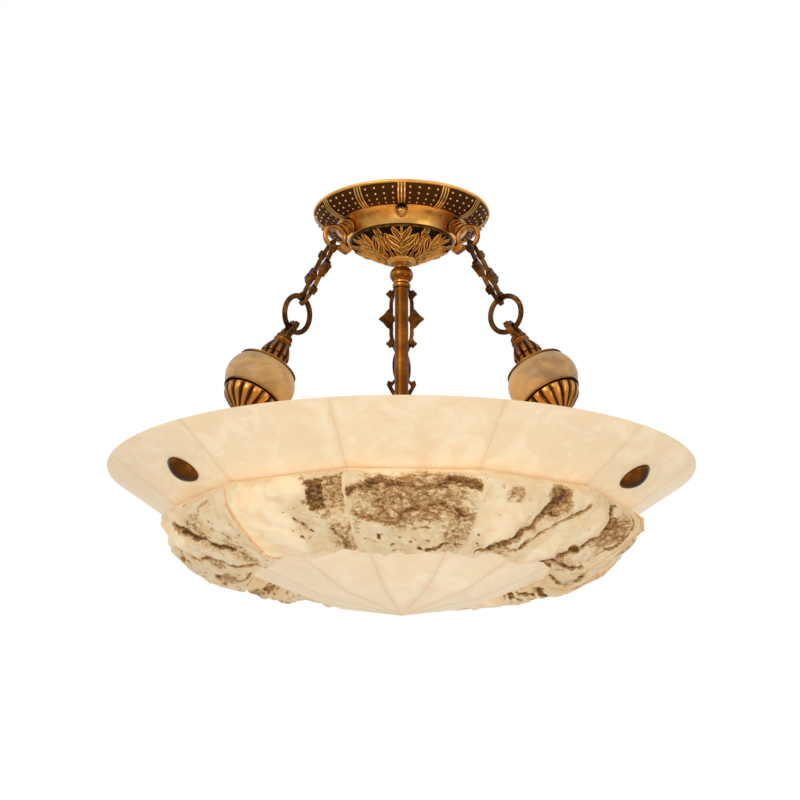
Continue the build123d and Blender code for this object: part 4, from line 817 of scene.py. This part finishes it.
def makeLeafDome():
    profile = dome["rim"] + dome["carved"] + dome["foot"]
    runs = [math.dist(a, b) for a, b in zip(profile, profile[1:])]
    total = sum(runs)
    carvedStart = sum(runs[:len(dome["rim"])])
    carvedEnd = carvedStart + sum(math.dist(a, b) for a, b in zip(dome["carved"], dome["carved"][1:]))
    bm = bmesh.new()
    verts = []
    for a, b, run in zip(profile, profile[1:], runs):
        parts = max(1, round(dome["rows"] * run / total))
        for k in range(parts):
            radius, z = (start + (end - start) * k / parts for start, end in zip(a, b))
            verts.append(bm.verts.new((0, -radius * mm, z * mm)))
    verts.append(bm.verts.new((0, -profile[-1][0] * mm, profile[-1][1] * mm)))
    lines = [bm.edges.new(pair) for pair in zip(verts, verts[1:])]
    bmesh.ops.spin(bm, geom=verts + lines, axis=(0, 0, 1), cent=(0, 0, 0), angle=2 * math.pi,
                   steps=dome["steps"], use_merge=True, use_duplicate=False)
    bmesh.ops.recalc_face_normals(bm, faces=bm.faces)
    bm.normal_update()
    lifts = bm.verts.layers.float.new("lift")
    moves = []
    for vert in bm.verts:
        radius, z = math.hypot(vert.co.x, vert.co.y) / mm, vert.co.z / mm
        along = nearest(profile, (radius, z))[1] * total
        relief = leafRelief(math.degrees(math.atan2(vert.co.x, -vert.co.y)), carvedEnd - along, radius)
        fade = (blendStep(carvedStart, carvedStart + dome["endFade"], along)
                * blendStep(carvedEnd, carvedEnd - dome["endFade"], along))
        plain = dome["rimLift"] if along < carvedEnd / 2 else dome["footLift"]
        vert[lifts] = max(0.0, min(1.0, relief * fade + (1 - fade) * plain))
        away = vert.normal if vert.normal.z < 0 else -vert.normal
        moves.append((vert, away * relief * dome["depth"] * fade * mm))
    for vert, move in moves:
        vert.co += move
    if sum(face.normal.z for face in bm.faces) > 0:
        bmesh.ops.reverse_faces(bm, faces=bm.faces)
    bmesh.ops.solidify(bm, geom=list(bm.faces), thickness=dome["wall"] * mm)
    return newPiece("canopyLeafCarving", bm, carvedBrass, "root")


leafPiece = makeLeafDome()
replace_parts(leafPiece, "leaf_dome")
print("leaf carving,", len(leafPiece.data.polygons), "faces")

# fluted caps and gadrooned cups of the finials: radius and distance down the finial's axis, depth of
# the grooves there, and how far the lobes reach on past them
finial = dict(radius=106.92, z=-122.70, lean=27.6)
capShape = dict(lobes=12, perLobe=12, power=0.6, profile=[
    (0.0, 18.3, 0, 0), (7.2, 18.3, 0, 0), (8.0, 18.9, 0, 0), (8.0, 20.0, 0, 0), (7.0, 20.6, 0, 0),
    (7.0, 21.2, 0, 0), (7.8, 21.8, 0, 0), (7.9, 22.6, 0.2, 0), (9.0, 24.4, 0.8, 0), (10.4, 27.0, 1.1, 0),
    (11.7, 30.0, 1.3, 0.2), (12.5, 32.6, 1.5, 0.6), (12.6, 34.0, 1.6, 1.1), (11.9, 34.8, 1.3, 1.1),
    (11.3, 35.2, 0.9, 0.8), (11.7, 37.0, 1.0, 0), (12.3, 40.0, 1.2, 0), (13.2, 43.4, 1.3, 0),
    (14.4, 46.2, 1.1, 0), (14.9, 47.2, 0.6, 0), (14.6, 47.8, 0, 0), (0.0, 47.8, 0, 0)])
cupShape = dict(lobes=16, perLobe=12, power=0.5, profile=[
    (0.0, 78.2, 0, 0), (23.2, 78.2, 0, 0), (23.8, 78.8, 0.3, 0), (23.9, 80.0, 1.4, 0), (23.7, 82.0, 2.0, 0),
    (22.7, 84.6, 2.1, 0), (20.6, 87.4, 2.0, 0), (17.4, 90.2, 1.8, 0), (13.6, 92.8, 1.5, 0),
    (10.2, 95.0, 1.1, 0), (8.0, 96.8, 0.7, 0), (7.0, 98.2, 0.2, 0), (6.5, 99.2, 0, 0), (0.0, 99.2, 0, 0)])


def finialPlace(side):
    # local z runs down the finial's axis, local x lies in its radial plane
    azimuth, lean = sides[side], math.radians(finial["lean"])
    down = towards(math.sin(lean), azimuth, -math.cos(lean))
    outward = towards(math.cos(lean), azimuth, math.sin(lean))
    turn = Matrix((outward, down.cross(outward), down)).transposed().to_4x4()
    return Matrix.Translation(towards(finial["radius"], azimuth, finial["z"]) * mm) @ turn


def finerProfile(profile, most=1.2):
    rows = [profile[0]]
    for a, b in zip(profile, profile[1:]):
        parts = max(1, round(math.dist(a[:2], b[:2]) / most)) if b[0] > 0 and a[0] > 0 else 1
        rows += [tuple(x + (y - x) * k / parts for x, y in zip(a, b)) for k in range(1, parts + 1)]
    return rows


def makeFluted(name, shape, side, metal):
    rows = finerProfile(shape["profile"])
    bm = bmesh.new()
    verts = [bm.verts.new((row[0] * mm, 0, row[1] * mm)) for row in rows]
    lines = [bm.edges.new(pair) for pair in zip(verts, verts[1:])]
    bmesh.ops.spin(bm, geom=verts + lines, axis=(0, 0, 1), cent=(0, 0, 0), angle=2 * math.pi,
                   steps=shape["lobes"] * shape["perLobe"], use_merge=True, use_duplicate=False)
    bmesh.ops.remove_doubles(bm, verts=bm.verts, dist=0.002 * mm)
    bmesh.ops.recalc_face_normals(bm, faces=bm.faces)
    lifts = bm.verts.layers.float.new("lift")
    for vert in bm.verts:
        radius = math.hypot(vert.co.x, vert.co.y)
        row = min(rows, key=lambda item: math.dist(item[:2], (radius / mm, vert.co.z / mm)))
        phase = math.atan2(vert.co.y, vert.co.x) * shape["lobes"] / 2
        lobe = abs(math.sin(phase)) ** shape["power"]
        if radius > 0:
            scale = 1 - row[2] * (1 - lobe) * mm / radius
            vert.co.x *= scale
            vert.co.y *= scale
        vert.co.z += row[3] * lobe * mm
        vert[lifts] = 1 - (1 - lobe) * min(1.0, row[2] / 0.8)
    bmesh.ops.transform(bm, matrix=finialPlace(side), verts=bm.verts)
    return newPiece(name + side.capitalize(), bm, metal, "bowl")


for side in sides:
    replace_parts(makeFluted("finialCap", capShape, side, capBrass), "finial_cap_" + side)
    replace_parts(makeFluted("finialCup", cupShape, side, flutedBrass), "finial_cup_" + side)
print("finial caps and cups ready")

# links and bails with the melted edges and uneven skin of castings
castings = dict(voxel=0.6, linkTurns=10, bailTurns=4, uneven=0.16)


def castPiece(name, nodeName, turns, body):
    bm = bmesh.new()
    bm.from_mesh(nodes[nodeName].data)
    bmesh.ops.remove_doubles(bm, verts=bm.verts, dist=0.004 * mm)
    mesh = bpy.data.meshes.new("casting")
    bm.to_mesh(mesh)
    bm.free()
    rough = bpy.data.objects.new("casting", mesh)
    bpy.context.scene.collection.objects.link(rough)
    remesh = rough.modifiers.new("skin", "REMESH")
    remesh.mode = "VOXEL"
    remesh.voxel_size = castings["voxel"] * mm
    skin = bpy.data.meshes.new_from_object(rough.evaluated_get(bpy.context.evaluated_depsgraph_get()))
    bpy.data.objects.remove(rough)
    bm = bmesh.new()
    bm.from_mesh(skin)
    soften(bm, bm.verts, turns)
    bm.normal_update()
    for vert in bm.verts:
        vert.co += vert.normal * noise.noise(vert.co * 420) * castings["uneven"] * mm
    return newPiece(name, bm, darkBrass, body)


for side in sides:
    link = castPiece("link" + side.capitalize(), "link_" + side, castings["linkTurns"], "link_%s_body" % side)
    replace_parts(link, "link_" + side)
    bail = castPiece("bail" + side.capitalize(), "finial_eye_" + side, castings["bailTurns"], "bowl")
    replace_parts(bail, "finial_eye_" + side)
print("links and bails ready")
